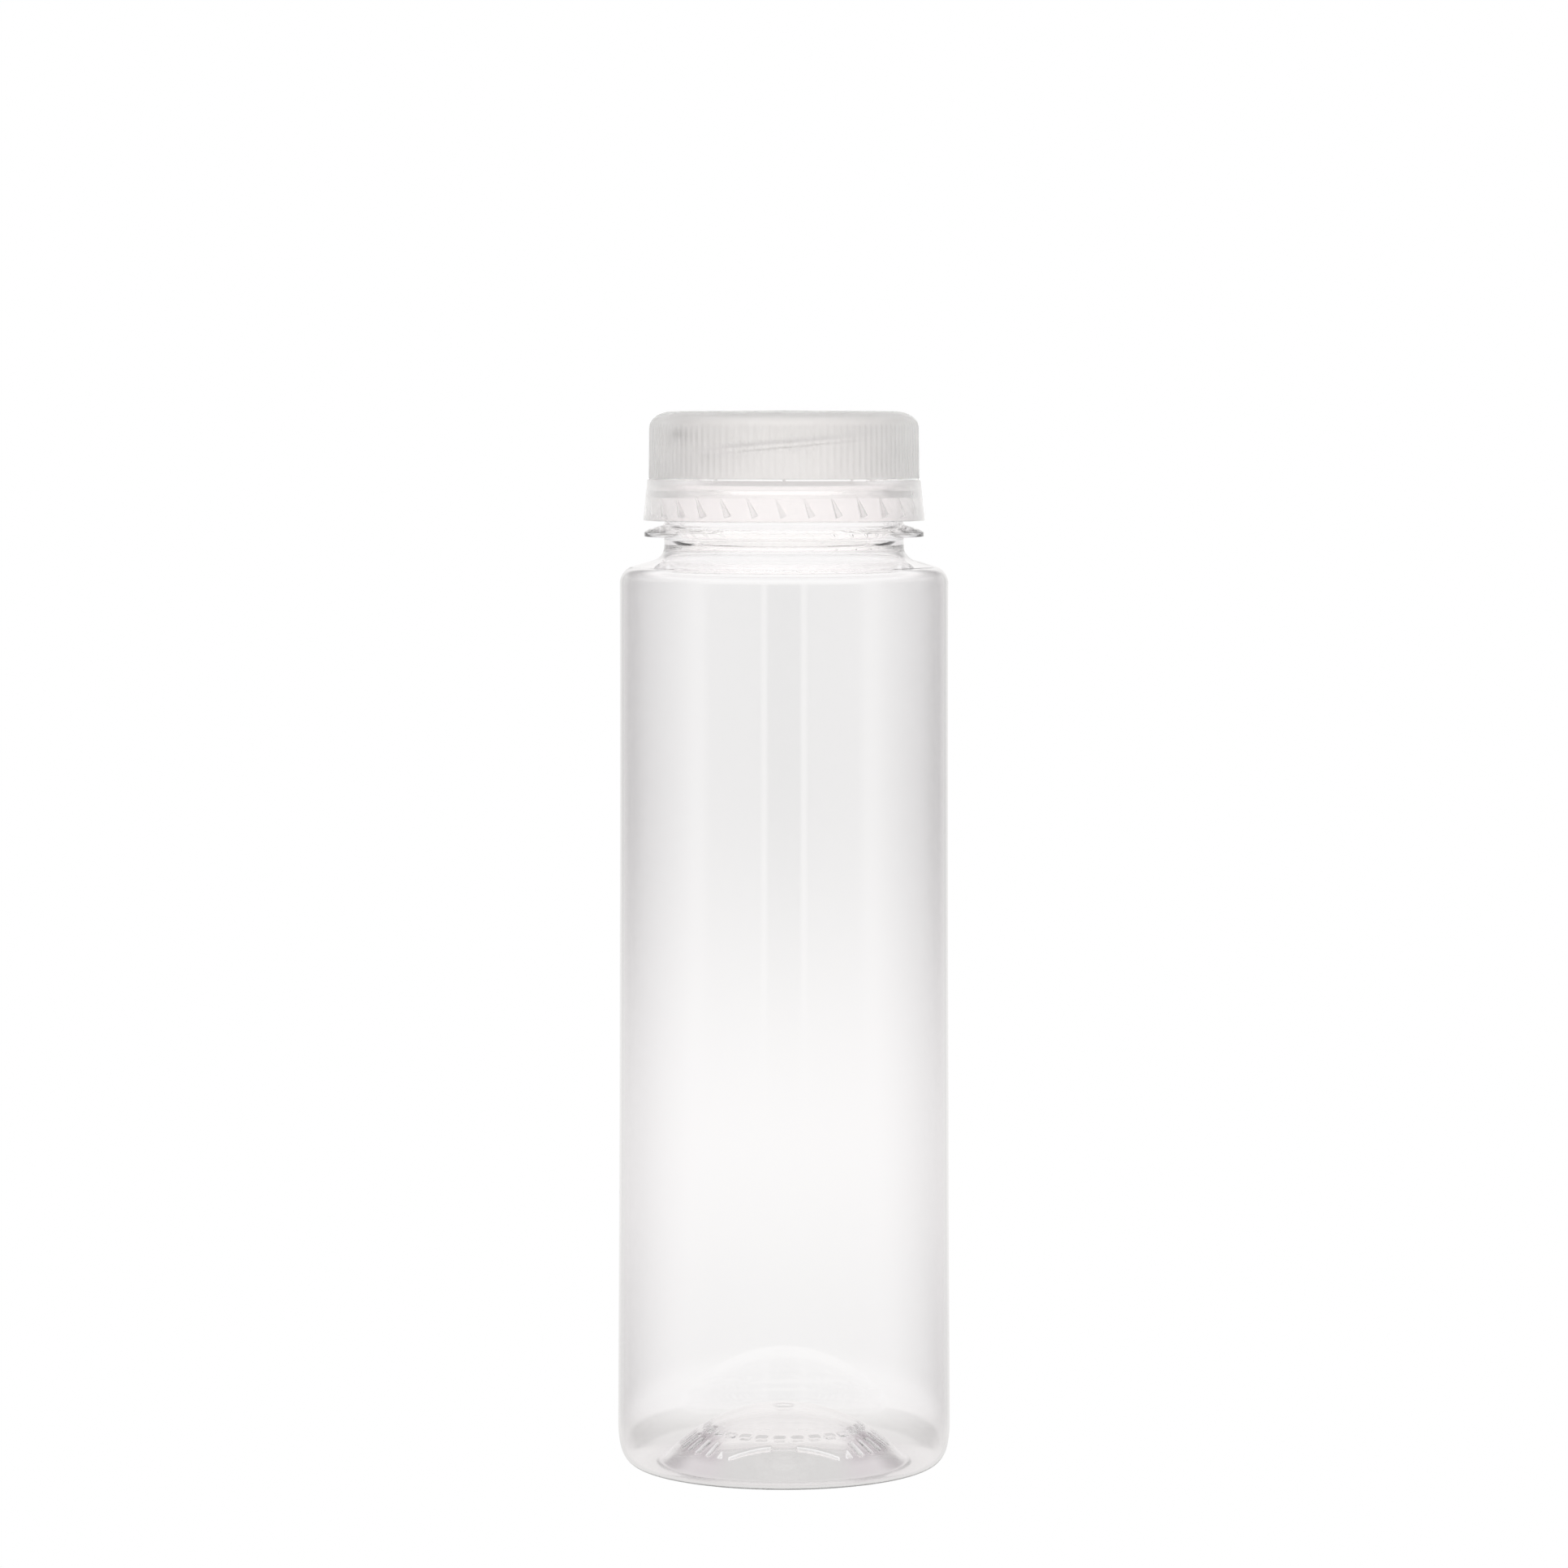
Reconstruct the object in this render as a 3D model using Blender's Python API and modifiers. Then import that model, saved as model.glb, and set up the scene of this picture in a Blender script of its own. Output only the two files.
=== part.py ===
"""An empty clear PET drinks bottle with a translucent screw cap and its tamper band.

The bottle stands on the origin and +Z runs up its axis. The front looks along -Y.
Three solids rest in one another with a small gap: the blown bottle, the cap and the
band that stays on the neck. Run with: blender --background --python part.py
"""

import math

import bmesh
import bpy
from mathutils import Matrix, Vector

MM = 0.001

# Overall height and the steps of each turned shape.
TOTAL_HEIGHT = 160.0 * MM
BOTTLE_STEPS = 48
CLOSURE_STEPS = 60
MERGE = 0.00001

# Body of the bottle.
WALL = 0.5 * MM
BODY_TOP_RADIUS = 24.75 * MM
BODY_FLARE = 0.5 * MM
BODY_STATIONS = 4
HEEL_RADIUS = 4.05 * MM
HEEL_ARC_STEPS = 6
INNER_ARC_STEPS = 3
FOOT_RING_INNER = 19.4 * MM

# Push-up dome of the base.
DOME_RADIUS = 25.0 * MM
DOME_APEX = 8.1 * MM
DOME_EDGE = 18.1 * MM
DOME_WALL_AT_APEX = 1.1 * MM
DOME_INNER_EDGE = 18.4 * MM
DOME_INNER_EDGE_HEIGHT = 0.83 * MM
DOME_STEPS = 5

# Shoulder between body and neck.
SHOULDER_SLOPE = math.radians(15.5)
SHOULDER_ARC_RADIUS = 2.6 * MM
SHOULDER_ARC_HEIGHT = 134.05 * MM
SHOULDER_ARC_STEPS = 5
NECK_FILLET_RADIUS = 2.3 * MM
NECK_FILLET_HEIGHT = 139.64 * MM
NECK_FILLET_STEPS = 4

# Neck, support flange, retaining bead and mouth.
NECK_RADIUS = 18.05 * MM
FINISH_RADIUS = 17.65 * MM
BORE_RADIUS = 16.3 * MM
BORE_BOTTOM = 142.6 * MM
MOUTH_HEIGHT = 158.4 * MM
LIP_ROUND = 0.3 * MM
FLANGE_UNDERSIDE = 141.05 * MM
FLANGE_TIP_RADIUS = 21.05 * MM
FLANGE_TIP_THICKNESS = 0.5 * MM
FLANGE_TOP_RISE = 1.1 * MM
FLANGE_TOP_RADIUS = 20.3 * MM
FLANGE_ROOT_RISE = 1.7 * MM
FLANGE_ROOT_FILLET = 0.5 * MM
BEAD_RADIUS = 18.9 * MM
BEAD_BOTTOM = 148.0 * MM
BEAD_TOP = 148.7 * MM
BEAD_SLOPE_RISE = 1.0 * MM
BEAD_UNDERCUT = 0.4 * MM

# Thread with three starts: one wire of round section for each.
THREAD_STARTS = 3
THREAD_LEAD = 10.1 * MM
THREAD_TURN = math.radians(125.0)
THREAD_FIRST_ANGLE = math.radians(-144.0)
THREAD_LOW = 153.15 * MM
THREAD_POINTS = 16
THREAD_TAPER_POINTS = 2
THREAD_TAPER_LEAST = 0.35
THREAD_WIRE_ROUNDNESS = 1
NECK_THREAD_WIRE = 0.85 * MM
NECK_THREAD_RADIUS = 17.85 * MM
CAP_THREAD_WIRE = 0.7 * MM
CAP_THREAD_RADIUS = 19.2 * MM
CAP_THREAD_DROP = 1.45 * MM

# Screw cap.
CAP_BOTTOM = 149.75 * MM
CAP_RADIUS = 20.37 * MM
CAP_UPPER_RADIUS = 20.28 * MM
CAP_EDGE_CENTRE = 157.35 * MM
CAP_EDGE_WIDTH = 3.6 * MM
CAP_EDGE_HEIGHT = 2.5 * MM
CAP_EDGE_STEPS = 5
CAP_INNER_RADIUS = 19.15 * MM
CAP_CEILING = 158.8 * MM
CAP_INNER_CORNER = 0.7 * MM
RIBS = 120
GROOVE_ROOT_RADIUS = 20.1 * MM
GROOVE_CUTTER_RADIUS = 0.45 * MM
GROOVE_BOTTOM = 150.55 * MM
GROOVE_TOP = 159.5 * MM

# Tamper band.
BAND_BOTTOM = 143.45 * MM
BAND_TOP = 149.45 * MM
BAND_BOTTOM_RADIUS = 21.2 * MM
BAND_TOP_RADIUS = 20.58 * MM
BAND_EDGE_CHAMFER = 0.12 * MM
COLLAR_INNER_RADIUS = 19.6 * MM
COLLAR_BOTTOM = 147.7 * MM
SKIRT_INNER_TOP_RADIUS = 20.0 * MM
SKIRT_INNER_BOTTOM_RADIUS = 20.35 * MM
SKIRT_STEP = 0.3 * MM
FLAPS = 30
FLAP_INNER_RADIUS = 18.75 * MM
FLAP_OUTER_RADIUS = 20.45 * MM
FLAP_THICKNESS = 0.45 * MM
FLAP_LENGTH = 3.3 * MM
FLAP_MIDDLE = 145.6 * MM
FLAP_LEAN = math.radians(30.0)

SHARP_EDGE = math.radians(35.0)


def clear_scene():
    """Removes whatever the file holds, so that the part starts alone."""
    for obj in list(bpy.data.objects):
        bpy.data.objects.remove(obj, do_unlink=True)


def new_collection(name):
    collection = bpy.data.collections.new(name)
    bpy.context.scene.collection.children.link(collection)
    return collection


def plastic(name, colour, roughness, transmission, ior):
    """One Principled material of an unpigmented plastic."""
    material = bpy.data.materials.new(name)
    material.use_nodes = True
    shader = material.node_tree.nodes["Principled BSDF"]
    shader.inputs["Base Color"].default_value = (*colour, 1.0)
    shader.inputs["Roughness"].default_value = roughness
    shader.inputs["Metallic"].default_value = 0.0
    shader.inputs["Transmission Weight"].default_value = transmission
    shader.inputs["IOR"].default_value = ior
    return material


def arc(centre, width, height, start, end, steps):
    """Points of an elliptical arc in the (radius, height) plane, both ends included."""
    points = []
    for step in range(steps + 1):
        angle = start + (end - start) * step / steps
        points.append((centre[0] + width * math.cos(angle), centre[1] + height * math.sin(angle)))
    return points


def round_arc(centre, radius, start, end, steps):
    return arc(centre, radius, radius, start, end, steps)


def sphere_height(apex, sphere_radius, radius):
    """Height, at a radius from the axis, of a sphere whose top is at apex."""
    return apex - sphere_radius + math.sqrt(sphere_radius**2 - radius**2)


def turned(name, profile, steps, collection):
    """A solid of revolution: the profile swept round Z by a Screw modifier."""
    mesh = bpy.data.meshes.new(name)
    points = [(radius, 0.0, height) for radius, height in profile]
    closed = profile[0][0] > 0.0
    edges = [(index, index + 1) for index in range(len(points) - 1)]
    if closed:
        edges.append((len(points) - 1, 0))
    mesh.from_pydata(points, edges, [])
    obj = bpy.data.objects.new(name, mesh)
    collection.objects.link(obj)
    screw = obj.modifiers.new("turn", "SCREW")
    screw.axis = "Z"
    screw.angle = math.tau
    screw.steps = steps
    screw.render_steps = steps
    screw.use_merge_vertices = True
    screw.merge_threshold = MERGE
    screw.use_smooth_shade = True
    return obj


def as_tool(obj):
    """Marks an object as a helper that only cuts or joins."""
    obj.hide_render = True
    obj.display_type = "WIRE"
    return obj


def combine(target, operation, operand):
    """Adds an exact Boolean of the target with one helper object."""
    boolean = target.modifiers.new(operand.name, "BOOLEAN")
    boolean.operation = operation
    boolean.solver = "EXACT"
    boolean.object = operand


def evaluated_mesh(obj):
    """A plain mesh of the object with its modifiers carried out."""
    graph = bpy.context.evaluated_depsgraph_get()
    return bpy.data.meshes.new_from_object(obj.evaluated_get(graph))


def finish(obj, material):
    """Carries out the modifiers, shades the round faces smooth and sets the material."""
    mesh = evaluated_mesh(obj)
    mesh.name = obj.name
    obj.modifiers.clear()
    obj.data = mesh
    mesh.shade_smooth()
    mesh.set_sharp_from_angle(angle=SHARP_EDGE)
    mesh.materials.clear()
    mesh.materials.append(material)


def thread_wires(name, wire, radius, drop, tools):
    """The three thread ridges as one mesh: round wires on a helix with thinned ends."""
    curve = bpy.data.curves.new(name, "CURVE")
    curve.dimensions = "3D"
    curve.bevel_depth = wire
    curve.bevel_resolution = THREAD_WIRE_ROUNDNESS
    curve.use_fill_caps = True
    last = THREAD_POINTS - 1
    for start in range(THREAD_STARTS):
        first_angle = THREAD_FIRST_ANGLE + start * math.tau / THREAD_STARTS
        spline = curve.splines.new("POLY")
        spline.points.add(last)
        for index, point in enumerate(spline.points):
            turn = THREAD_TURN * index / last
            angle = first_angle + turn
            height = THREAD_LOW - drop + THREAD_LEAD * turn / math.tau
            point.co = (radius * math.cos(angle), radius * math.sin(angle), height, 1.0)
            from_end = min(index, last - index) / THREAD_TAPER_POINTS
            point.radius = min(1.0, THREAD_TAPER_LEAST + (1.0 - THREAD_TAPER_LEAST) * from_end)
    wires = bpy.data.objects.new(name + "_curve", curve)
    tools.objects.link(wires)
    bpy.context.view_layer.update()
    mesh = evaluated_mesh(wires)
    bpy.data.objects.remove(wires, do_unlink=True)
    shape = bmesh.new()
    shape.from_mesh(mesh)
    bmesh.ops.remove_doubles(shape, verts=shape.verts, dist=MERGE)
    bmesh.ops.recalc_face_normals(shape, faces=shape.faces)
    shape.to_mesh(mesh)
    shape.free()
    obj = bpy.data.objects.new(name, mesh)
    tools.objects.link(obj)
    return as_tool(obj)


def body_radius(height):
    """Outer radius of the body, which flares gently towards the heel."""
    share = (SHOULDER_ARC_HEIGHT - height) / (SHOULDER_ARC_HEIGHT - HEEL_RADIUS)
    return BODY_TOP_RADIUS + BODY_FLARE * share**2


def body_wall(inset):
    """The straight side from shoulder to heel, moved inwards by the inset."""
    points = []
    for station in range(1, BODY_STATIONS):
        drop = (SHOULDER_ARC_HEIGHT - HEEL_RADIUS) * station / BODY_STATIONS
        height = SHOULDER_ARC_HEIGHT - drop
        points.append((body_radius(height) - inset, height))
    return points


def shoulder(inset, fillet_steps, corner_steps):
    """Neck fillet, shoulder cone and rounded corner, top to bottom, moved inwards by the inset."""
    fillet = round_arc(
        (NECK_RADIUS + NECK_FILLET_RADIUS, NECK_FILLET_HEIGHT),
        NECK_FILLET_RADIUS + inset,
        math.pi,
        1.5 * math.pi - SHOULDER_SLOPE,
        fillet_steps,
    )
    corner = round_arc(
        (BODY_TOP_RADIUS - SHOULDER_ARC_RADIUS, SHOULDER_ARC_HEIGHT),
        SHOULDER_ARC_RADIUS - inset,
        0.5 * math.pi - SHOULDER_SLOPE,
        0.0,
        corner_steps,
    )
    return fillet, corner


def heel(inset, steps):
    """The rounded heel from the body down to the foot ring, moved inwards by the inset."""
    centre = (body_radius(HEEL_RADIUS) - HEEL_RADIUS, HEEL_RADIUS)
    return round_arc(centre, HEEL_RADIUS - inset, 0.0, -0.5 * math.pi, steps)


def dome(apex, sphere_radius, edge, steps):
    """The push-up from its edge in to the axis."""
    points = []
    for step in range(steps + 1):
        radius = edge * (1.0 - step / steps)
        points.append((radius, sphere_height(apex, sphere_radius, radius)))
    return points


def finish_profile():
    """Outer side of the neck finish: lip, thread wall, retaining bead and support flange."""
    root = FLANGE_UNDERSIDE + FLANGE_ROOT_RISE
    return [
        (BORE_RADIUS, MOUTH_HEIGHT - LIP_ROUND),
        (BORE_RADIUS + LIP_ROUND, MOUTH_HEIGHT),
        (FINISH_RADIUS - LIP_ROUND, MOUTH_HEIGHT),
        (FINISH_RADIUS, MOUTH_HEIGHT - LIP_ROUND),
        (FINISH_RADIUS, BEAD_TOP + BEAD_SLOPE_RISE),
        (BEAD_RADIUS, BEAD_TOP),
        (BEAD_RADIUS, BEAD_BOTTOM),
        (FINISH_RADIUS + FLANGE_ROOT_FILLET / 2, BEAD_BOTTOM - BEAD_UNDERCUT),
        (FINISH_RADIUS + FLANGE_ROOT_FILLET / 2, root + FLANGE_ROOT_FILLET),
        (NECK_RADIUS + FLANGE_ROOT_FILLET / 2, root),
        (FLANGE_TOP_RADIUS, FLANGE_UNDERSIDE + FLANGE_TOP_RISE),
        (FLANGE_TIP_RADIUS, FLANGE_UNDERSIDE + FLANGE_TIP_THICKNESS),
        (FLANGE_TIP_RADIUS - FLANGE_ROOT_FILLET / 4, FLANGE_UNDERSIDE),
        (NECK_RADIUS, FLANGE_UNDERSIDE),
    ]


def bottle_profile():
    """The whole wall section: up the inside from the axis, over the lip and down the outside."""
    outer_fillet, outer_corner = shoulder(0.0, NECK_FILLET_STEPS, SHOULDER_ARC_STEPS)
    inner_fillet, inner_corner = shoulder(WALL, INNER_ARC_STEPS, INNER_ARC_STEPS)
    outer_dome = dome(DOME_APEX, DOME_RADIUS, DOME_EDGE, DOME_STEPS)
    inner_apex = DOME_APEX + DOME_WALL_AT_APEX
    drop = inner_apex - DOME_INNER_EDGE_HEIGHT
    inner_sphere = (DOME_INNER_EDGE**2 + drop**2) / (2.0 * drop)
    inner_dome = dome(inner_apex, inner_sphere, DOME_INNER_EDGE, DOME_STEPS)
    inside_down = [(BORE_RADIUS, BORE_BOTTOM)]
    inside_down += [(BORE_RADIUS + WALL, FLANGE_UNDERSIDE - WALL)]
    inside_down += inner_fillet[1:] + inner_corner + body_wall(WALL) + heel(WALL, INNER_ARC_STEPS)
    inside_down += [(FOOT_RING_INNER, WALL)] + inner_dome
    outside_down = finish_profile() + outer_fillet + outer_corner + body_wall(0.0)
    outside_down += heel(0.0, HEEL_ARC_STEPS) + [(FOOT_RING_INNER, 0.0)] + outer_dome
    return inside_down[::-1] + outside_down


def build_bottle(parts, tools):
    """The clear bottle with its neck thread joined on."""
    bottle = turned("bottle", bottle_profile(), BOTTLE_STEPS, parts)
    wires = thread_wires("neck_thread", NECK_THREAD_WIRE, NECK_THREAD_RADIUS, 0.0, tools)
    combine(bottle, "UNION", wires)
    finish(bottle, plastic("clear_pet", (0.97, 0.96, 0.97), 0.05, 1.0, 1.57))


def groove_cutter(tools):
    """Four-sided bars, corner inwards, that cut the grip grooves between the ribs."""
    shape = bmesh.new()
    height = GROOVE_TOP - GROOVE_BOTTOM
    lift = Matrix.Translation((GROOVE_ROOT_RADIUS + GROOVE_CUTTER_RADIUS, 0.0, GROOVE_BOTTOM + height / 2))
    for rib in range(RIBS):
        turn = Matrix.Rotation((rib + 0.5) * math.tau / RIBS, 4, "Z")
        bmesh.ops.create_cone(
            shape,
            cap_ends=True,
            segments=4,
            radius1=GROOVE_CUTTER_RADIUS,
            radius2=GROOVE_CUTTER_RADIUS,
            depth=height,
            matrix=turn @ lift,
        )
    return tool_from(shape, "grip_grooves", tools)


def tool_from(shape, name, tools):
    """A hidden helper object from a finished bmesh."""
    mesh = bpy.data.meshes.new(name)
    shape.to_mesh(mesh)
    shape.free()
    obj = bpy.data.objects.new(name, mesh)
    tools.objects.link(obj)
    return as_tool(obj)


def cap_profile():
    """Section of the cap: up the inside from the skirt, in to the axis, then out and down."""
    corner = CAP_CEILING - CAP_INNER_CORNER
    edge = arc(
        (CAP_UPPER_RADIUS - CAP_EDGE_WIDTH, CAP_EDGE_CENTRE),
        CAP_EDGE_WIDTH,
        CAP_EDGE_HEIGHT,
        0.5 * math.pi,
        0.0,
        CAP_EDGE_STEPS,
    )
    inside = [
        (0.0, CAP_CEILING),
        (CAP_INNER_RADIUS - CAP_INNER_CORNER, CAP_CEILING),
        (CAP_INNER_RADIUS, corner),
        (CAP_INNER_RADIUS, CAP_BOTTOM),
    ]
    outside = [(0.0, TOTAL_HEIGHT)] + edge + [(CAP_RADIUS, CAP_BOTTOM)]
    return outside + inside[::-1]


def build_cap(parts, tools):
    """The hollow cap with its grip ribs and the thread inside its skirt."""
    cap = turned("screw_cap", cap_profile(), CLOSURE_STEPS, parts)
    combine(cap, "DIFFERENCE", groove_cutter(tools))
    wires = thread_wires("cap_thread", CAP_THREAD_WIRE, CAP_THREAD_RADIUS, CAP_THREAD_DROP, tools)
    combine(cap, "UNION", wires)
    finish(cap, plastic("natural_cap_plastic", (0.90, 0.89, 0.88), 0.35, 0.6, 1.5))


def band_profile():
    """Closed section of the band: down the outside, then up the inside with its step."""
    return [
        (BAND_TOP_RADIUS - BAND_EDGE_CHAMFER, BAND_TOP),
        (BAND_TOP_RADIUS, BAND_TOP - BAND_EDGE_CHAMFER),
        (BAND_BOTTOM_RADIUS, BAND_BOTTOM),
        (SKIRT_INNER_BOTTOM_RADIUS, BAND_BOTTOM),
        (SKIRT_INNER_TOP_RADIUS, COLLAR_BOTTOM - SKIRT_STEP),
        (COLLAR_INNER_RADIUS, COLLAR_BOTTOM),
        (COLLAR_INNER_RADIUS, BAND_TOP),
    ]


def flap_bars(tools):
    """The leaning retaining flaps that reach in under the neck bead."""
    shape = bmesh.new()
    depth = FLAP_OUTER_RADIUS - FLAP_INNER_RADIUS
    size = Matrix.Diagonal(Vector((depth, FLAP_THICKNESS, FLAP_LENGTH, 1.0)))
    lift = Matrix.Translation((FLAP_INNER_RADIUS + depth / 2, 0.0, FLAP_MIDDLE))
    lean = Matrix.Rotation(FLAP_LEAN, 4, "X")
    for flap in range(FLAPS):
        turn = Matrix.Rotation(flap * math.tau / FLAPS, 4, "Z")
        bmesh.ops.create_cube(shape, size=1.0, matrix=turn @ lift @ lean @ size)
    return tool_from(shape, "retaining_flaps", tools)


def build_band(parts, tools):
    """The tamper band round the neck, with its flaps joined on."""
    band = turned("tamper_band", band_profile(), CLOSURE_STEPS, parts)
    combine(band, "UNION", flap_bars(tools))
    finish(band, plastic("natural_band_plastic", (0.91, 0.89, 0.89), 0.35, 0.6, 1.5))


def main():
    clear_scene()
    parts = new_collection("plastic_bottle")
    tools = new_collection("cutters")
    build_bottle(parts, tools)
    build_cap(parts, tools)
    build_band(parts, tools)


main()
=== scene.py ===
"""Looks of an empty clear drinks bottle with a translucent screw cap and its tamper band.

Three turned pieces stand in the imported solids' places: the blown bottle, the ribbed cap
and the band with its retaining flaps. Small moulded bridges tie band and cap together.
Lengths are metres, +Z runs up the bottle's axis, and the front looks along -Y.
"""

from __future__ import annotations

import logging
import math
from dataclasses import dataclass
from enum import Enum
from typing import Union

import bmesh
import bpy
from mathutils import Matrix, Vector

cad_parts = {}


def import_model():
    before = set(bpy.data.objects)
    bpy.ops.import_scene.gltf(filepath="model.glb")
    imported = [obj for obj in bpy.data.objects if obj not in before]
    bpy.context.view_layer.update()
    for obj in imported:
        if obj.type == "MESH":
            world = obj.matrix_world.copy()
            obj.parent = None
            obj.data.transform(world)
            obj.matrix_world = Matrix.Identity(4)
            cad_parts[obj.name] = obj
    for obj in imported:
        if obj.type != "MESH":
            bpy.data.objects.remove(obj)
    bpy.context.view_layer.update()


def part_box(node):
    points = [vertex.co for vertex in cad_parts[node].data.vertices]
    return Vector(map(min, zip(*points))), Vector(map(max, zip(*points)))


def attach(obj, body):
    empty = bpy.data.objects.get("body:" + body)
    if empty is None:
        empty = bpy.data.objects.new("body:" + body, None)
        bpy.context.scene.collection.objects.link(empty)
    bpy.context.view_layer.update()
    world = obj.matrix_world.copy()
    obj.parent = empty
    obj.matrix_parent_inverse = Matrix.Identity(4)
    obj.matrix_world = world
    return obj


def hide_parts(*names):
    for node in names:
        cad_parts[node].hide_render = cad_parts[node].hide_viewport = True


LOG = logging.getLogger("bottle")
MM = 0.001
BODY = "root"
WELD = 1e-6
CREASE = math.radians(40.0)
WHITE = (1.0, 1.0, 1.0, 1.0)

Point = tuple[float, float]
Corner = tuple[float, float, float]
Colour = tuple[float, float, float]
Stops = tuple[tuple[float, Colour], ...]
Table = tuple[tuple[float, float], ...]
Socket = bpy.types.NodeSocket
Value = Union[Socket, float, int, tuple]


class Slot(Enum):
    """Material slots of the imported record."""

    PET = "clear_pet"
    CAP = "cap_plastic"
    BAND = "band_plastic"


class NodeSketch:
    """A node tree that is built call by call, with values or sockets as inputs."""

    def __init__(self, tree: bpy.types.NodeTree) -> None:
        """Keep the shader or geometry node tree that the nodes go into."""
        self.tree = tree

    def node(
        self, kind: str, inputs: dict[Union[str, int], Value] | None = None, **settings
    ) -> bpy.types.Node:
        """Add one node.

        Args:
            kind: Blender's name of the node type.
            inputs: Input name or index to a socket or a constant.
            **settings: Properties of the node.

        Returns:
            The new node.
        """
        made = self.tree.nodes.new(kind)
        for name, value in settings.items():
            setattr(made, name, value)
        for key, value in (inputs or {}).items():
            self.feed(made.inputs[key], value)
        return made

    def feed(self, target: Socket, value: Value) -> None:
        """Link a socket to an input, or set the input's constant.

        Args:
            target: The input socket.
            value: A socket or a constant.
        """
        if isinstance(value, Socket):
            self.tree.links.new(value, target)
        else:
            target.default_value = value

    def math(self, operation: str, first: Value, second: Value = 0.0, third: Value = 0.0) -> Socket:
        """Add a Math node of the named operation, and return its result."""
        made = self.node("ShaderNodeMath", {0: first, 1: second, 2: third}, operation=operation)
        return made.outputs[0]

    def plus(self, first: Value, second: Value) -> Socket:
        """Add a sum."""
        return self.math("ADD", first, second)

    def minus(self, first: Value, second: Value) -> Socket:
        """Add a difference."""
        return self.math("SUBTRACT", first, second)

    def times(self, first: Value, second: Value) -> Socket:
        """Add a product."""
        return self.math("MULTIPLY", first, second)

    def most(self, first: Value, *others: Value) -> Socket:
        """Add the largest of some values."""
        for other in others:
            first = self.math("MAXIMUM", first, other)
        return first

    def distance(self, first: Value, second: Value) -> Socket:
        """Add the absolute difference of two values."""
        return self.math("ABSOLUTE", self.minus(first, second))

    def axes(self, vector: Value) -> tuple[Socket, ...]:
        """Split a vector into x, y and z."""
        return tuple(self.node("ShaderNodeSeparateXYZ", {0: vector}).outputs)

    def vector(self, **parts: Value) -> Socket:
        """Join X, Y and Z, given by name, with 0 for what isn't given."""
        return self.node("ShaderNodeCombineXYZ", parts).outputs[0]

    def off_axis(self, x: Socket, y: Socket) -> Socket:
        """Add the distance from the Z axis."""
        return self.math("SQRT", self.plus(self.times(x, x), self.times(y, y)))

    def smooth(self, value: Value, low: Value, high: Value) -> Socket:
        """Add a Map Range node that eases from 0 at low to 1 at high.

        Args:
            value: What is mapped.
            low: Where the result leaves 0.
            high: Where the result reaches 1.

        Returns:
            The eased share.
        """
        made = self.node(
            "ShaderNodeMapRange",
            {"Value": value, "From Min": low, "From Max": high},
            interpolation_type="SMOOTHSTEP",
        )
        return made.outputs["Result"]

    def ramp(self, share: Value, stops: Stops) -> Socket:
        """Add a Color Ramp node with linear stops.

        Args:
            share: Where the ramp is read, from 0 to 1.
            stops: Place and linear colour of each stop, in order.

        Returns:
            The colour.
        """
        made = self.node("ShaderNodeValToRGB", {0: share})
        elements = made.color_ramp.elements
        while len(elements) < len(stops):
            elements.new(1.0)
        for element, (place, colour) in zip(elements, stops):
            element.position = place
            element.color = (*colour, 1.0)
        return made.outputs["Color"]

    def mix(self, share: Value, first: Value, second: Value) -> Socket:
        """Add a colour mix.

        Args:
            share: 0 for the first colour, 1 for the second.
            first: First colour.
            second: Second colour.

        Returns:
            The mixed colour.
        """
        made = self.node("ShaderNodeMix", data_type="RGBA")
        self.feed(made.inputs["Factor"], share)
        self.feed(made.inputs[6], first)
        self.feed(made.inputs[7], second)
        return made.outputs[2]


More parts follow.
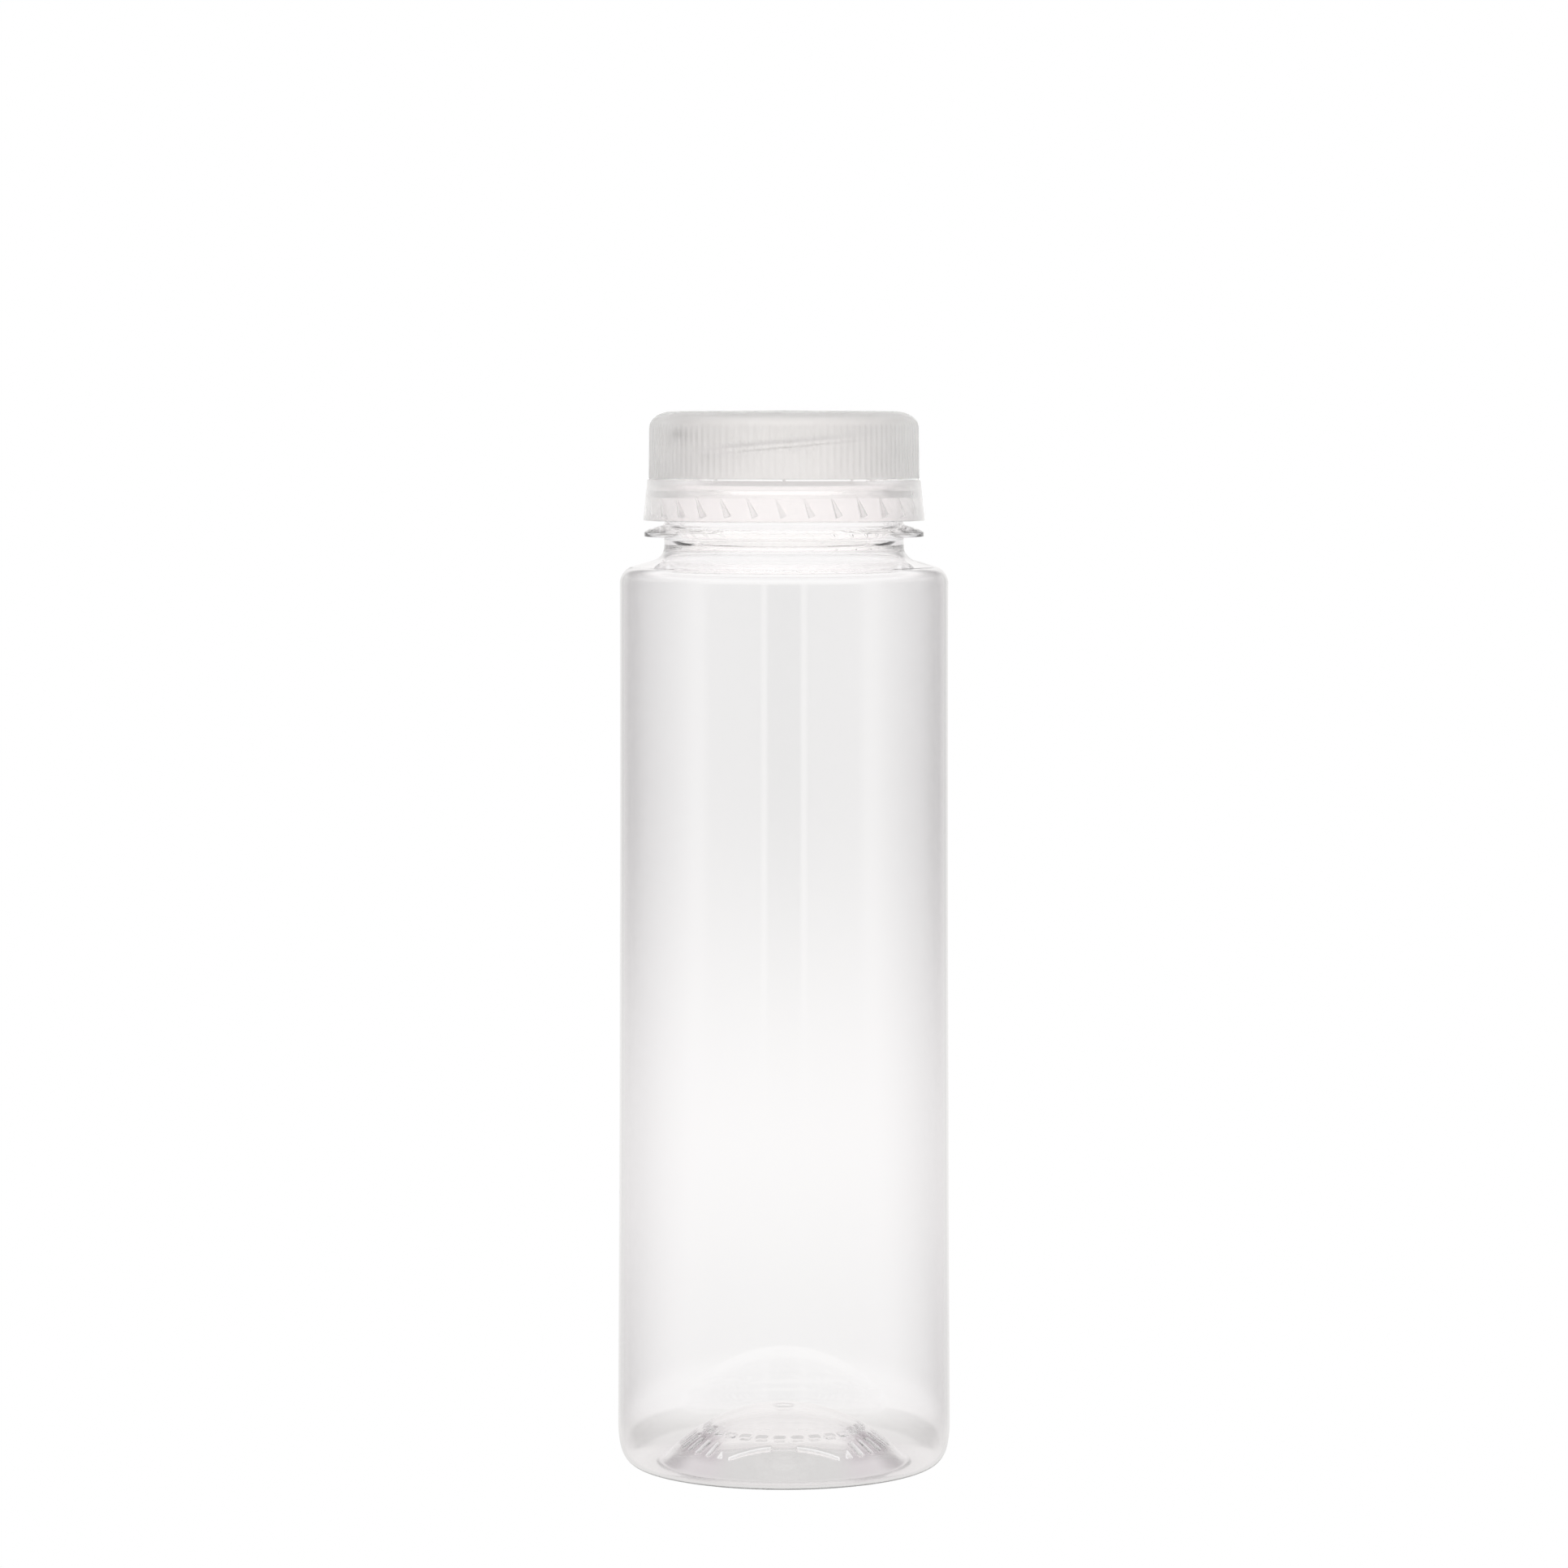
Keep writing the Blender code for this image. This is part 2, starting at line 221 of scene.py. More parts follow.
class FormTree(NodeSketch):
    """A geometry node tree with named inputs that turns a profile and finishes the mesh."""

    def __init__(self, name: str) -> None:
        """Start a tree with a geometry input, a finish input and a geometry output.

        Args:
            name: Name of the node group.
        """
        super().__init__(bpy.data.node_groups.new(name, "GeometryNodeTree"))
        self.group_inputs = self.tree.nodes.new("NodeGroupInput")
        self.output = self.tree.nodes.new("NodeGroupOutput")
        self.identifiers: dict[str, str] = {}
        self.defaults: dict[str, Union[float, int, bpy.types.Material]] = {}
        self.declare("Geometry", "NodeSocketGeometry")
        self.tree.interface.new_socket("Geometry", in_out="OUTPUT", socket_type="NodeSocketGeometry")

    def declare(self, name: str, kind: str) -> Socket:
        """Add a named input to the tree.

        Args:
            name: The input's name.
            kind: Its socket type.

        Returns:
            The socket inside the tree.
        """
        item = self.tree.interface.new_socket(name, in_out="INPUT", socket_type=kind)
        self.identifiers[name] = item.identifier
        return next(s for s in self.group_inputs.outputs if s.identifier == item.identifier)

    def number(self, name: str, value: float) -> Socket:
        """Add a named number input, with the value that the modifier gets."""
        self.defaults[name] = float(value)
        return self.declare(name, "NodeSocketFloat")

    def count(self, name: str, value: int) -> Socket:
        """Add a named whole number input, with the value that the modifier gets."""
        self.defaults[name] = int(value)
        return self.declare(name, "NodeSocketInt")

    def ring(self, count: Socket, radius: Value, height: float, phase: float = 0.0) -> Socket:
        """Add points evenly round the axis.

        Args:
            count: How many points.
            radius: Their distance from the axis.
            height: Their height.
            phase: Angle of the first point, in radians.

        Returns:
            The points.
        """
        circle = self.node("GeometryNodeMeshCircle", {"Vertices": count, "Radius": radius})
        placed = self.node(
            "GeometryNodeTransform",
            {
                "Geometry": circle.outputs[0],
                "Translation": (0.0, 0.0, height),
                "Rotation": (0.0, 0.0, phase),
            },
        )
        return placed.outputs[0]

    def finish(self, geometry: Socket, material: bpy.types.Material) -> None:
        """End the tree: smooth shading, real geometry and the finish.

        Args:
            geometry: The shaped geometry.
            material: The finish of all its faces.
        """
        finish = self.declare("Finish", "NodeSocketMaterial")
        self.defaults["Finish"] = material
        shaded = self.node("GeometryNodeSetShadeSmooth", {"Geometry": geometry})
        real = self.node("GeometryNodeRealizeInstances", {"Geometry": shaded.outputs[0]})
        painted = self.node(
            "GeometryNodeSetMaterial", {"Geometry": real.outputs[0], "Material": finish}
        )
        self.feed(self.output.inputs[0], painted.outputs[0])

    def carry_out(self, name: str, profile: list[Point], crease: float = math.pi) -> bpy.types.Object:
        """Run the tree on a wall section and keep the result as a plain mesh object.

        Args:
            name: Name of the piece.
            profile: The points that the tree starts from, as radius and height.
            crease: Angle between faces, in radians, past which their edge stays sharp.

        Returns:
            The piece, at the origin, with no modifier left.
        """
        obj = bpy.data.objects.new(name, section_mesh(f"{name}_section", profile))
        bpy.context.scene.collection.objects.link(obj)
        modifier = obj.modifiers.new("form", "NODES")
        modifier.node_group = self.tree
        for socket_name, value in self.defaults.items():
            modifier[self.identifiers[socket_name]] = value
        graph = bpy.context.evaluated_depsgraph_get()
        mesh = bpy.data.meshes.new_from_object(obj.evaluated_get(graph))
        mesh.name = name
        obj.modifiers.clear()
        obj.data = mesh
        face_outwards(obj)
        if crease < math.pi:
            mesh.set_sharp_from_angle(angle=crease)
        return obj


class TurnTree(FormTree):
    """Turns the start mesh's points, a wall section in the XZ plane, round the Z axis."""

    def __init__(self, name: str, steps: int) -> None:
        """Build the turning nodes.

        Args:
            name: Name of the node group.
            steps: How many facets go round.
        """
        super().__init__(name)
        count = self.count("Steps", steps)
        profile = self.group_inputs.outputs[0]
        size = self.node("GeometryNodeAttributeDomainSize", {"Geometry": profile})
        rows = size.outputs["Point Count"]
        columns = self.plus(count, 1.0)
        grid = self.node("GeometryNodeMeshGrid", {"Size X": 1.0, "Size Y": 1.0})
        self.feed(grid.inputs["Vertices X"], rows)
        self.feed(grid.inputs["Vertices Y"], columns)
        position = self.node("GeometryNodeInputPosition").outputs[0]
        along, around, _ = self.axes(position)
        row = self.times(self.plus(along, 0.5), self.minus(rows, 1.0))
        sample = self.node("GeometryNodeSampleIndex", data_type="FLOAT_VECTOR", domain="POINT")
        self.feed(sample.inputs["Geometry"], profile)
        self.feed(sample.inputs["Value"], position)
        self.feed(sample.inputs["Index"], self.math("ROUND", row))
        radius, _, height = self.axes(sample.outputs[0])
        angle = self.times(self.plus(around, 0.5), math.tau)
        turned = self.vector(
            X=self.times(radius, self.math("COSINE", angle)),
            Y=self.times(radius, self.math("SINE", angle)),
            Z=height,
        )
        moved = self.node(
            "GeometryNodeSetPosition", {"Geometry": grid.outputs[0], "Position": turned}
        )
        welded = self.node(
            "GeometryNodeMergeByDistance", {"Geometry": moved.outputs[0], "Distance": WELD}
        )
        self.wall = welded.outputs[0]
        self.read_place()

    def read_place(self) -> None:
        """Read each point's height, distance from the axis and angle round it."""
        self.x, self.y, self.z = self.axes(self.node("GeometryNodeInputPosition").outputs[0])
        self.radius = self.off_axis(self.x, self.y)
        self.angle = self.math("ARCTAN2", self.y, self.x)

    def shift(self, offset: Socket) -> None:
        """Move the wall's points by a vector."""
        moved = self.node("GeometryNodeSetPosition", {"Geometry": self.wall, "Offset": offset})
        self.wall = moved.outputs[0]

    def swell(self, amount: Socket) -> None:
        """Move each point of the wall away from the axis by an amount, in metres."""
        share = self.math("DIVIDE", amount, self.most(self.radius, WELD))
        self.shift(self.vector(X=self.times(self.x, share), Y=self.times(self.y, share)))

    def lift(self, amount: Socket) -> None:
        """Raise each point of the wall by an amount, in metres."""
        self.shift(self.vector(Z=amount))


def rounded(corners: list[Corner], steps: int = 4) -> list[Point]:
    """A profile through corners, each cut by an arc of its own radius.

    Args:
        corners: Radius, height and rounding of each corner.
        steps: Segments of each arc.

    Returns:
        The profile's points.
    """
    points = [corners[0][:2]]
    for before, here, after in zip(corners, corners[1:], corners[2:]):
        if here[2] <= 0.0:
            points.append(here[:2])
            continue
        into = (before[0] - here[0], before[1] - here[1])
        away = (after[0] - here[0], after[1] - here[1])
        into_length, away_length = math.hypot(*into), math.hypot(*away)
        into = (into[0] / into_length, into[1] / into_length)
        away = (away[0] / away_length, away[1] / away_length)
        half = 0.5 * math.acos(max(-1.0, min(1.0, into[0] * away[0] + into[1] * away[1])))
        reach = min(here[2] / math.tan(half), 0.5 * into_length, 0.5 * away_length)
        start = (here[0] + into[0] * reach, here[1] + into[1] * reach)
        end = (here[0] + away[0] * reach, here[1] + away[1] * reach)
        for step in range(steps + 1):
            share = step / steps
            near, middle, far = (1.0 - share) ** 2, 2.0 * share * (1.0 - share), share**2
            points.append(
                tuple(near * start[i] + middle * here[i] + far * end[i] for i in (0, 1))
            )
    points.append(corners[-1][:2])
    return points


def arc(
    centre: Point, width: float, height: float, start: float, end: float, steps: int
) -> list[Point]:
    """Points of an elliptical arc.

    Args:
        centre: Its centre, as radius and height.
        width: Half-axis along the radius.
        height: Half-axis along the height.
        start: First angle, in radians.
        end: Last angle, in radians.
        steps: Segments.

    Returns:
        The points, both ends included.
    """
    points = []
    for step in range(steps + 1):
        angle = start + (end - start) * step / steps
        points.append((centre[0] + width * math.cos(angle), centre[1] + height * math.sin(angle)))
    return points


def dense(points: list[Point], spacing: float) -> list[Point]:
    """The same profile with no segment longer than the spacing.

    Args:
        points: The profile.
        spacing: Longest segment that is left, in metres.

    Returns:
        The profile with points added.
    """
    result = [points[0]]
    for first, second in zip(points, points[1:]):
        parts = max(1, math.ceil(math.dist(first, second) / spacing))
        for part in range(1, parts + 1):
            share = part / parts
            result.append(tuple(first[i] + (second[i] - first[i]) * share for i in (0, 1)))
    return result


def section_mesh(name: str, profile: list[Point]) -> bpy.types.Mesh:
    """A wall section as a string of points in the XZ plane.

    Args:
        name: Name of the mesh.
        profile: Its points, as radius and height.

    Returns:
        The mesh, with edges and no faces.
    """
    mesh = bpy.data.meshes.new(name)
    edges = [(index, index + 1) for index in range(len(profile) - 1)]
    mesh.from_pydata([(radius, 0.0, height) for radius, height in profile], edges, [])
    return mesh


def face_outwards(obj: bpy.types.Object) -> None:
    """Turn a closed piece's faces to point out of its material, and shade them smooth."""
    shape = bmesh.new()
    shape.from_mesh(obj.data)
    if shape.calc_volume(signed=True) < 0.0:
        bmesh.ops.reverse_faces(shape, faces=shape.faces)
    shape.to_mesh(obj.data)
    shape.free()
    obj.data.shade_smooth()


@dataclass(frozen=True)
class BaseMarks:
    """Marks under the base dome: a ring of equal dashes, uneven ribs at the sides and two ledges.
    All are plain. A dark tint on the dome's sides is painted shade.
    """

    apex: float = 8.1 * MM
    sphere: float = 25.0 * MM
    skin: Point = (0.25 * MM, 0.4 * MM)
    count: int = 27
    inner_ring: float = 11.3 * MM
    outer_ring: float = 14.2 * MM
    ring_half: float = 0.25 * MM
    outer_half: float = 1.0 * MM
    outer_share: float = 1.4
    side: Point = (9.0 * MM, 10.0 * MM)
    plain: float = 0.26
    narrow: float = 0.03
    spread: float = 0.16
    end_soft: float = 0.14
    draws_from: float = 91.5
    height: float = 0.07 * MM
    ledge: float = 13.0 * MM
    ledge_half: float = 0.05 * MM
    ledge_start: float = 2.2 * MM
    ledge_end: float = 7.9 * MM
    soft: float = 0.3 * MM
    frost: float = 0.35
    # Where the painted shade lies: a band round the dome's sides.
    painted_shade_ring: float = 13.4 * MM
    painted_shade_half: float = 1.8 * MM
    painted_shade_soft: float = 1.6 * MM
    painted_shade_side: Point = (7.5 * MM, 12.0 * MM)

    def between(self, sketch: NodeSketch, value: Socket, *sizes: float) -> Socket:
        """1 in a band round a middle, of a half width, with soft edges, and 0 outside."""
        middle, half, soft = sizes
        return sketch.smooth(sketch.distance(value, middle), half + soft, half)

    def dashes(
        self, sketch: NodeSketch, angle: Socket, count: Value, least: float, spread: float
    ) -> Socket:
        """Dashes round a ring.

        Args:
            sketch: The tree that is drawn in.
            angle: The point's angle round the axis.
            count: Number of dashes in the ring.
            least: Half the shortest dash, as a share of the pitch.
            spread: How much longer a dash may be.

        Returns:
            1 on a dash and 0 between them.
        """
        turned = sketch.math("DIVIDE", sketch.plus(angle, math.pi), math.tau)
        turn = sketch.times(turned, count)
        cell = sketch.plus(sketch.math("FLOOR", turn), self.draws_from)
        noise = sketch.node("ShaderNodeTexWhiteNoise", {"W": cell}, noise_dimensions="1D")
        half = sketch.plus(least, sketch.times(noise.outputs["Value"], spread))
        away = sketch.distance(sketch.math("FRACT", turn), 0.5)
        return sketch.smooth(sketch.minus(away, half), self.end_soft, 0.0)

    def under(self, sketch: NodeSketch, radius: Socket, height: Socket) -> Socket:
        """Pick out the dome's underside.

        Args:
            sketch: The tree that is drawn in.
            radius: The point's distance from the axis.
            height: Its height.

        Returns:
            1 on the underside and 0 elsewhere.
        """
        inside = sketch.most(sketch.minus(self.sphere**2, sketch.times(radius, radius)), 0.0)
        surface = sketch.plus(sketch.math("SQRT", inside), self.apex - self.sphere)
        return sketch.smooth(sketch.distance(height, surface), self.skin[1], self.skin[0])

    def pattern(
        self, sketch: NodeSketch, place: tuple[Socket, ...], count: Value
    ) -> tuple[Socket, Socket, Socket]:
        """The marks, for a tree of shapes or of colours.

        Args:
            sketch: The tree that is drawn in.
            place: The point's x, y and z.
            count: Number of dashes in a ring.

        Returns:
            How far the point is in a raised mark, a frosted one and the painted shade at the sides, 0
            to 1.
        """
        x, y, z = place
        radius = sketch.off_axis(x, y)
        angle = sketch.math("ARCTAN2", y, x)
        across, depth = sketch.math("ABSOLUTE", x), sketch.math("ABSOLUTE", y)
        under = self.under(sketch, radius, z)
        aside = sketch.smooth(across, *self.side)
        inner = sketch.times(
            self.dashes(sketch, angle, count, self.plain, 0.0),
            self.between(sketch, radius, self.inner_ring, self.ring_half, self.soft),
        )
        more = sketch.times(count, self.outer_share)
        outer = sketch.times(
            self.dashes(sketch, angle, more, self.narrow, self.spread),
            self.between(sketch, radius, self.outer_ring, self.outer_half, self.soft),
        )
        outer = sketch.times(outer, aside)
        half_run = 0.5 * (self.ledge_end - self.ledge_start)
        ledge = sketch.times(
            self.between(sketch, across, self.ledge_start + half_run, half_run, self.soft),
            self.between(sketch, depth, self.ledge, self.ledge_half, self.soft),
        )
        raised = sketch.times(under, sketch.most(inner, outer, ledge))
        frosted = sketch.times(under, sketch.most(outer, sketch.times(inner, aside), ledge))
        # Painted shade: a dark band round the dome's sides, left off the frosted marks.
        painted_shade = self.between(sketch, radius, self.painted_shade_ring, self.painted_shade_half, self.painted_shade_soft)
        painted_shade = sketch.times(painted_shade, sketch.smooth(across, *self.painted_shade_side))
        painted_shade = sketch.times(painted_shade, under)
        return raised, frosted, sketch.times(painted_shade, sketch.minus(1.0, frosted))

    def relief(self, tree: TurnTree) -> Socket:
        """How far the bottle's tree lifts each point, negative where a mark stands down."""
        count = tree.count("Base Dash Count", self.count)
        height = tree.number("Base Mark Height", self.height)
        raised = self.pattern(tree, (tree.x, tree.y, tree.z), count)[0]
        return tree.times(raised, tree.times(height, -1.0))

    def haze(self, sketch: NodeSketch, place: Socket) -> tuple[Socket, Socket]:
        """Roughness of the frosted marks, and the painted shade at the sides.

        Args:
            sketch: The material's tree.
            place: Object coordinates.

        Returns:
            The roughness, 0 off the marks, and how far the point is in the painted shade at the
            sides.
        """
        _, frosted, painted_shade = self.pattern(sketch, sketch.axes(place), float(self.count))
        return sketch.times(frosted, self.frost), painted_shade


@dataclass(frozen=True)
class PlasticFinish:
    """One moulded plastic, with its haze, ripple and tint, and where it has base marks a painted
    shade on the dome's sides. Rings start above every piece, if they aren't set lower, and only a
    finish without marks reads the roughness.
    """

    name: str
    colour: Colour
    cloud_colour: Colour
    edge_colour: Colour
    ior: float = 1.49
    roughness: float = 0.0
    roughness_spread: float = 0.0
    gloss: float = 0.3
    gloss_roughness: float = 0.15
    cloud_scale: float = 220.0
    cloud_detail: float = 3.0
    cloud_roughness: float = 0.55
    edge_blend: float = 0.35
    ripple_scale: Corner = (900.0, 900.0, 900.0)
    ripple_height: float = 0.01 * MM
    ripple_detail: float = 2.0
    rings_from: float = 10.0
    rings_soft: float = 2.0 * MM
    ring_scale: Corner = (1.0, 1.0, 1.0)
    ring_share: float = 1.0
    marks: BaseMarks | None = None
    # Colour of the painted shade on the dome's sides.
    painted_shade_colour: Colour = (0.52, 0.46, 0.50)

    def make(self) -> bpy.types.Material:
        """Build the material.

        Returns:
            A Principled material with procedural colour, roughness and bump.
        """
        material = bpy.data.materials.new(self.name)
        material.use_nodes = True
        sketch = NodeSketch(material.node_tree)
        shader = material.node_tree.nodes["Principled BSDF"]
        shader.inputs["Transmission Weight"].default_value = 1.0
        shader.inputs["IOR"].default_value = self.ior
        shader.inputs["Coat Weight"].default_value = self.gloss
        shader.inputs["Coat Roughness"].default_value = self.gloss_roughness
        place = sketch.node("ShaderNodeTexCoord").outputs["Object"]
        cloud = sketch.node(
            "ShaderNodeTexNoise",
            {
                "Vector": place,
                "Scale": self.cloud_scale,
                "Detail": self.cloud_detail,
                "Roughness": self.cloud_roughness,
            },
        )
        body = sketch.mix(cloud.outputs["Fac"], (*self.colour, 1.0), (*self.cloud_colour, 1.0))
        facing = sketch.node("ShaderNodeLayerWeight", {"Blend": self.edge_blend}).outputs["Facing"]
        tinted = sketch.mix(facing, body, (*self.edge_colour, 1.0))
        if self.marks is None:
            self.make_haze(sketch, shader, cloud.outputs["Fac"])
        else:
            roughness, painted_shade = self.marks.haze(sketch, place)
            sketch.feed(shader.inputs["Roughness"], roughness)
            # Lay the painted shade on the dome's sides.
            tinted = sketch.mix(painted_shade, tinted, (*self.painted_shade_colour, 1.0))
        sketch.feed(shader.inputs["Base Color"], tinted)
        sketch.feed(shader.inputs["Normal"], self.ripples(sketch, place))
        return material

    def make_haze(self, sketch: NodeSketch, shader: bpy.types.Node, cloud: Socket) -> None:
        """Set the roughness, clouded like milky plastic.

        Args:
            sketch: The material's tree.
            shader: The Principled shader.
            cloud: The cloud pattern, from 0 to 1.
        """
        haze = sketch.node("ShaderNodeMapRange", {"Value": cloud})
        haze.inputs["To Min"].default_value = self.roughness - self.roughness_spread
        haze.inputs["To Max"].default_value = self.roughness + self.roughness_spread
        sketch.feed(shader.inputs["Roughness"], haze.outputs["Result"])

    def ripples(self, sketch: NodeSketch, place: Socket) -> Socket:
        """Add the faint unevenness that the mould and the blowing leave.

        Args:
            sketch: The material's tree.
            place: Object coordinates.

        Returns:
            The bumped normal.
        """
        height = sketch.axes(place)[2]
        start, end = self.rings_from - self.rings_soft, self.rings_from + self.rings_soft
        up = sketch.smooth(height, start, end)
        waves = []
        for scale in (self.ripple_scale, self.ring_scale):
            stretched = sketch.node("ShaderNodeMapping", {"Vector": place, "Scale": scale})
            noise = sketch.node(
                "ShaderNodeTexNoise",
                {"Vector": stretched.outputs[0], "Scale": 1.0, "Detail": self.ripple_detail},
            )
            waves.append(noise.outputs["Fac"])
        low = sketch.times(sketch.minus(1.0, up), waves[0])
        high = sketch.times(sketch.times(up, self.ring_share), waves[1])
        bump = sketch.node(
            "ShaderNodeBump",
            {"Height": sketch.plus(low, high), "Distance": self.ripple_height, "Strength": 1.0},
        )
        return bump.outputs[0]


PET_FINISH = PlasticFinish(
    name="clear_pet",
    colour=(0.990, 0.985, 0.984),
    cloud_colour=(0.996, 0.992, 0.991),
    edge_colour=(0.980, 0.957, 0.968),
    ior=1.57,
    gloss=0.0,
    cloud_scale=40.0,
    ripple_scale=(260.0, 260.0, 22.0),
    ripple_height=0.0015 * MM,
    rings_from=137.0 * MM,
    ring_scale=(10.0, 10.0, 600.0),
    ring_share=8.0,
    marks=BaseMarks(),
)

CAP_FINISH = PlasticFinish(
    name="natural_cap_plastic",
    colour=(0.993, 0.984, 0.978),
    cloud_colour=(0.984, 0.975, 0.969),
    edge_colour=(0.988, 0.980, 0.974),
    roughness=0.46,
    roughness_spread=0.05,
)

BAND_FINISH = PlasticFinish(
    name="natural_band_plastic",
    colour=(0.992, 0.974, 0.976),
    cloud_colour=(0.982, 0.964, 0.966),
    edge_colour=(0.975, 0.965, 0.965),
    roughness=0.26,
    roughness_spread=0.03,
)


@dataclass(frozen=True)
class Thread:
    """A screw thread with several starts, each a ridge shorter than its share of the turn."""

    starts: int = 3
    lead: float = 10.1 * MM
    turn: float = math.radians(116.0)
    first_angle: float = math.radians(-140.0)
    low: float = 153.3 * MM
    half_width: float = 0.85 * MM
    height: float = 1.0 * MM
    end_length: float = math.radians(9.0)
    crest: float = 0.35

    def ridge(self, tree: TurnTree) -> Socket:
        """How far the ridge stands out at each point of a turned wall.

        Args:
            tree: The wall's tree.

        Returns:
            The ridge's height at the point, in metres.
        """
        starts = tree.count("Thread Starts", self.starts)
        lead = tree.number("Thread Lead", self.lead)
        width = tree.number("Thread Half Width", self.half_width)
        height = tree.number("Thread Height", self.height)
        low = tree.number("Thread Low End", self.low)
        pitch_angle = tree.math("DIVIDE", math.tau, starts)
        local = tree.math("MODULO", tree.minus(tree.angle, self.first_angle - math.tau), pitch_angle)
        centre = tree.plus(low, tree.times(lead, tree.math("DIVIDE", local, math.tau)))
        away = tree.math("DIVIDE", tree.distance(tree.z, centre), width)
        flank = tree.minus(1.0, tree.smooth(away, self.crest, 1.0))
        rise = tree.smooth(local, 0.0, self.end_length)
        fall = tree.minus(1.0, tree.smooth(local, self.turn - self.end_length, self.turn))
        return tree.times(height, tree.times(flank, tree.times(rise, fall)))


@dataclass(frozen=True)
class BlownBottle:
    """The clear bottle: neck finish, shoulder, flaring body, heel and pushed-up base."""

    mouth: float
    steps: int = 304
    fillet_steps: int = 10
    corner_steps: int = 12
    heel_steps: int = 18
    foot_steps: int = 8
    wall: float = 0.5 * MM
    bore: float = 16.3 * MM
    finish_radius: float = 17.65 * MM
    neck_radius: float = 18.05 * MM
    lip_round: float = 0.35 * MM
    bead_radius: float = 18.9 * MM
    bead_low: float = 148.0 * MM
    bead_high: float = 148.7 * MM
    flange_under: float = 141.05 * MM
    flange_radius: float = 21.05 * MM
    flange_edge: float = 0.65 * MM
    flange_rise: float = 1.1 * MM
    flange_root: float = 1.7 * MM
    fillet_radius: float = 2.3 * MM
    fillet_height: float = 139.64 * MM
    slope: float = math.radians(15.5)
    corner_radius: float = 2.6 * MM
    corner_height: float = 134.05 * MM
    body_radius: float = 24.75 * MM
    flare: float = 0.5 * MM
    heel_radius: float = 4.05 * MM
    heel_height: float = 7.0 * MM
    heel_pull: Point = (1.3 * MM, 23.9 * MM)
    foot_outer: float = 20.6 * MM
    foot_round: float = 2.2 * MM
    gate_radius: float = 1.5 * MM
    gate_height: float = 0.18 * MM
    gate_gap: float = 0.3 * MM
    gate_root: Point = (0.1 * MM, 0.04 * MM)
    gate_slope: float = 0.5 * MM
    dome_radius: float = 25.0 * MM
    dome_apex: float = 8.1 * MM
    dome_edge: float = 18.1 * MM
    apex_wall: float = 1.1 * MM
    inner_dome_edge: float = 18.4 * MM
    inner_dome_low: float = 0.83 * MM
    fine: float = 0.22 * MM
    coarse: float = 9.0 * MM
    dome_spacing: float = 0.3 * MM
    foot_run: float = 2.2 * MM
    foot_overlap: float = 0.9 * MM
    soft_bend: float = 0.4 * MM
    small_bend: float = 0.2 * MM
    bead_bend: float = 0.15 * MM
    tip_bend: float = 0.08 * MM
    step_out: float = 0.25 * MM
    bead_slope: float = 1.0 * MM
    bead_under: float = 0.4 * MM
    root_slope: float = 0.5 * MM
    flange_top: float = 0.75 * MM
    neck_run: float = 0.4 * MM
    bore_bends: Point = (2.0 * MM, 1.0 * MM)
    bore_end: float = 1.5 * MM
    bore_run: float = 0.3 * MM
    thread_zone: Point = (0.5 * MM, 1.2 * MM)
    outer_from: Point = (0.9 * MM, 1.2 * MM)

    def radius_at(self, height: float) -> float:
        """Outer radius of the body at a height, which grows gently towards the heel."""
        share = (self.corner_height - height) / (self.corner_height - self.heel_radius)
        return self.body_radius + self.flare * share**2

    def side(self, inset: float) -> list[Point]:
        """Fillet, shoulder, corner, body and heel, top to bottom.

        Args:
            inset: How far inside the outer surface the line runs.

        Returns:
            The profile's points.
        """
        fillet = arc(
            (self.neck_radius + self.fillet_radius, self.fillet_height),
            self.fillet_radius + inset,
            self.fillet_radius + inset,
            math.pi,
            1.5 * math.pi - self.slope,
            self.fillet_steps,
        )
        corner = arc(
            (self.body_radius - self.corner_radius, self.corner_height),
            self.corner_radius - inset,
            self.corner_radius - inset,
            0.5 * math.pi - self.slope,
            0.0,
            self.corner_steps,
        )
        span = self.corner_height - self.heel_height
        stations = math.ceil(span / self.coarse)
        body = []
        for station in range(1, stations):
            height = self.corner_height - span * station / stations
            body.append((self.radius_at(height) - inset, height))
        return fillet + corner + body + self.heel(inset)

    def heel(self, inset: float) -> list[Point]:
        """The soft curve from the body's side to the foot.

        Args:
            inset: How far inside the outer surface the line runs.

        Returns:
            The profile's points, top to bottom.
        """
        top = self.radius_at(self.heel_height)
        ends = (
            (top, self.heel_height),
            (top, self.heel_pull[0]),
            (self.heel_pull[1], 0.0),
            (self.foot_outer, 0.0),
        )
        points = []
        for step in range(self.heel_steps + 1):
            share = step / self.heel_steps
            rest = 1.0 - share
            weights = (rest**3, 3.0 * rest**2 * share, 3.0 * rest * share**2, share**3)
            both = 2.0 * rest * share
            slopes = (-(rest**2), rest**2 - both, both - share**2, share**2)
            radius, height = (sum(w * end[i] for w, end in zip(weights, ends)) for i in (0, 1))
            run, fall = (sum(w * end[i] for w, end in zip(slopes, ends)) for i in (0, 1))
            length = math.hypot(run, fall)
            points.append((radius + inset * fall / length, height - inset * run / length))
        return points

    def dome(self, apex: float, sphere: float, edge: float, spacing: float) -> list[Point]:
        """The push-up, from its edge in to the axis.

        Args:
            apex: Height of its top.
            sphere: Radius of the sphere that it is part of.
            edge: Radius of its edge.
            spacing: Longest step between its points.

        Returns:
            The profile's points.
        """
        steps = math.ceil(edge / spacing)
        points = []
        for step in range(steps + 1):
            radius = edge * (1.0 - step / steps)
            points.append((radius, apex - sphere + math.sqrt(sphere**2 - radius**2)))
        return points

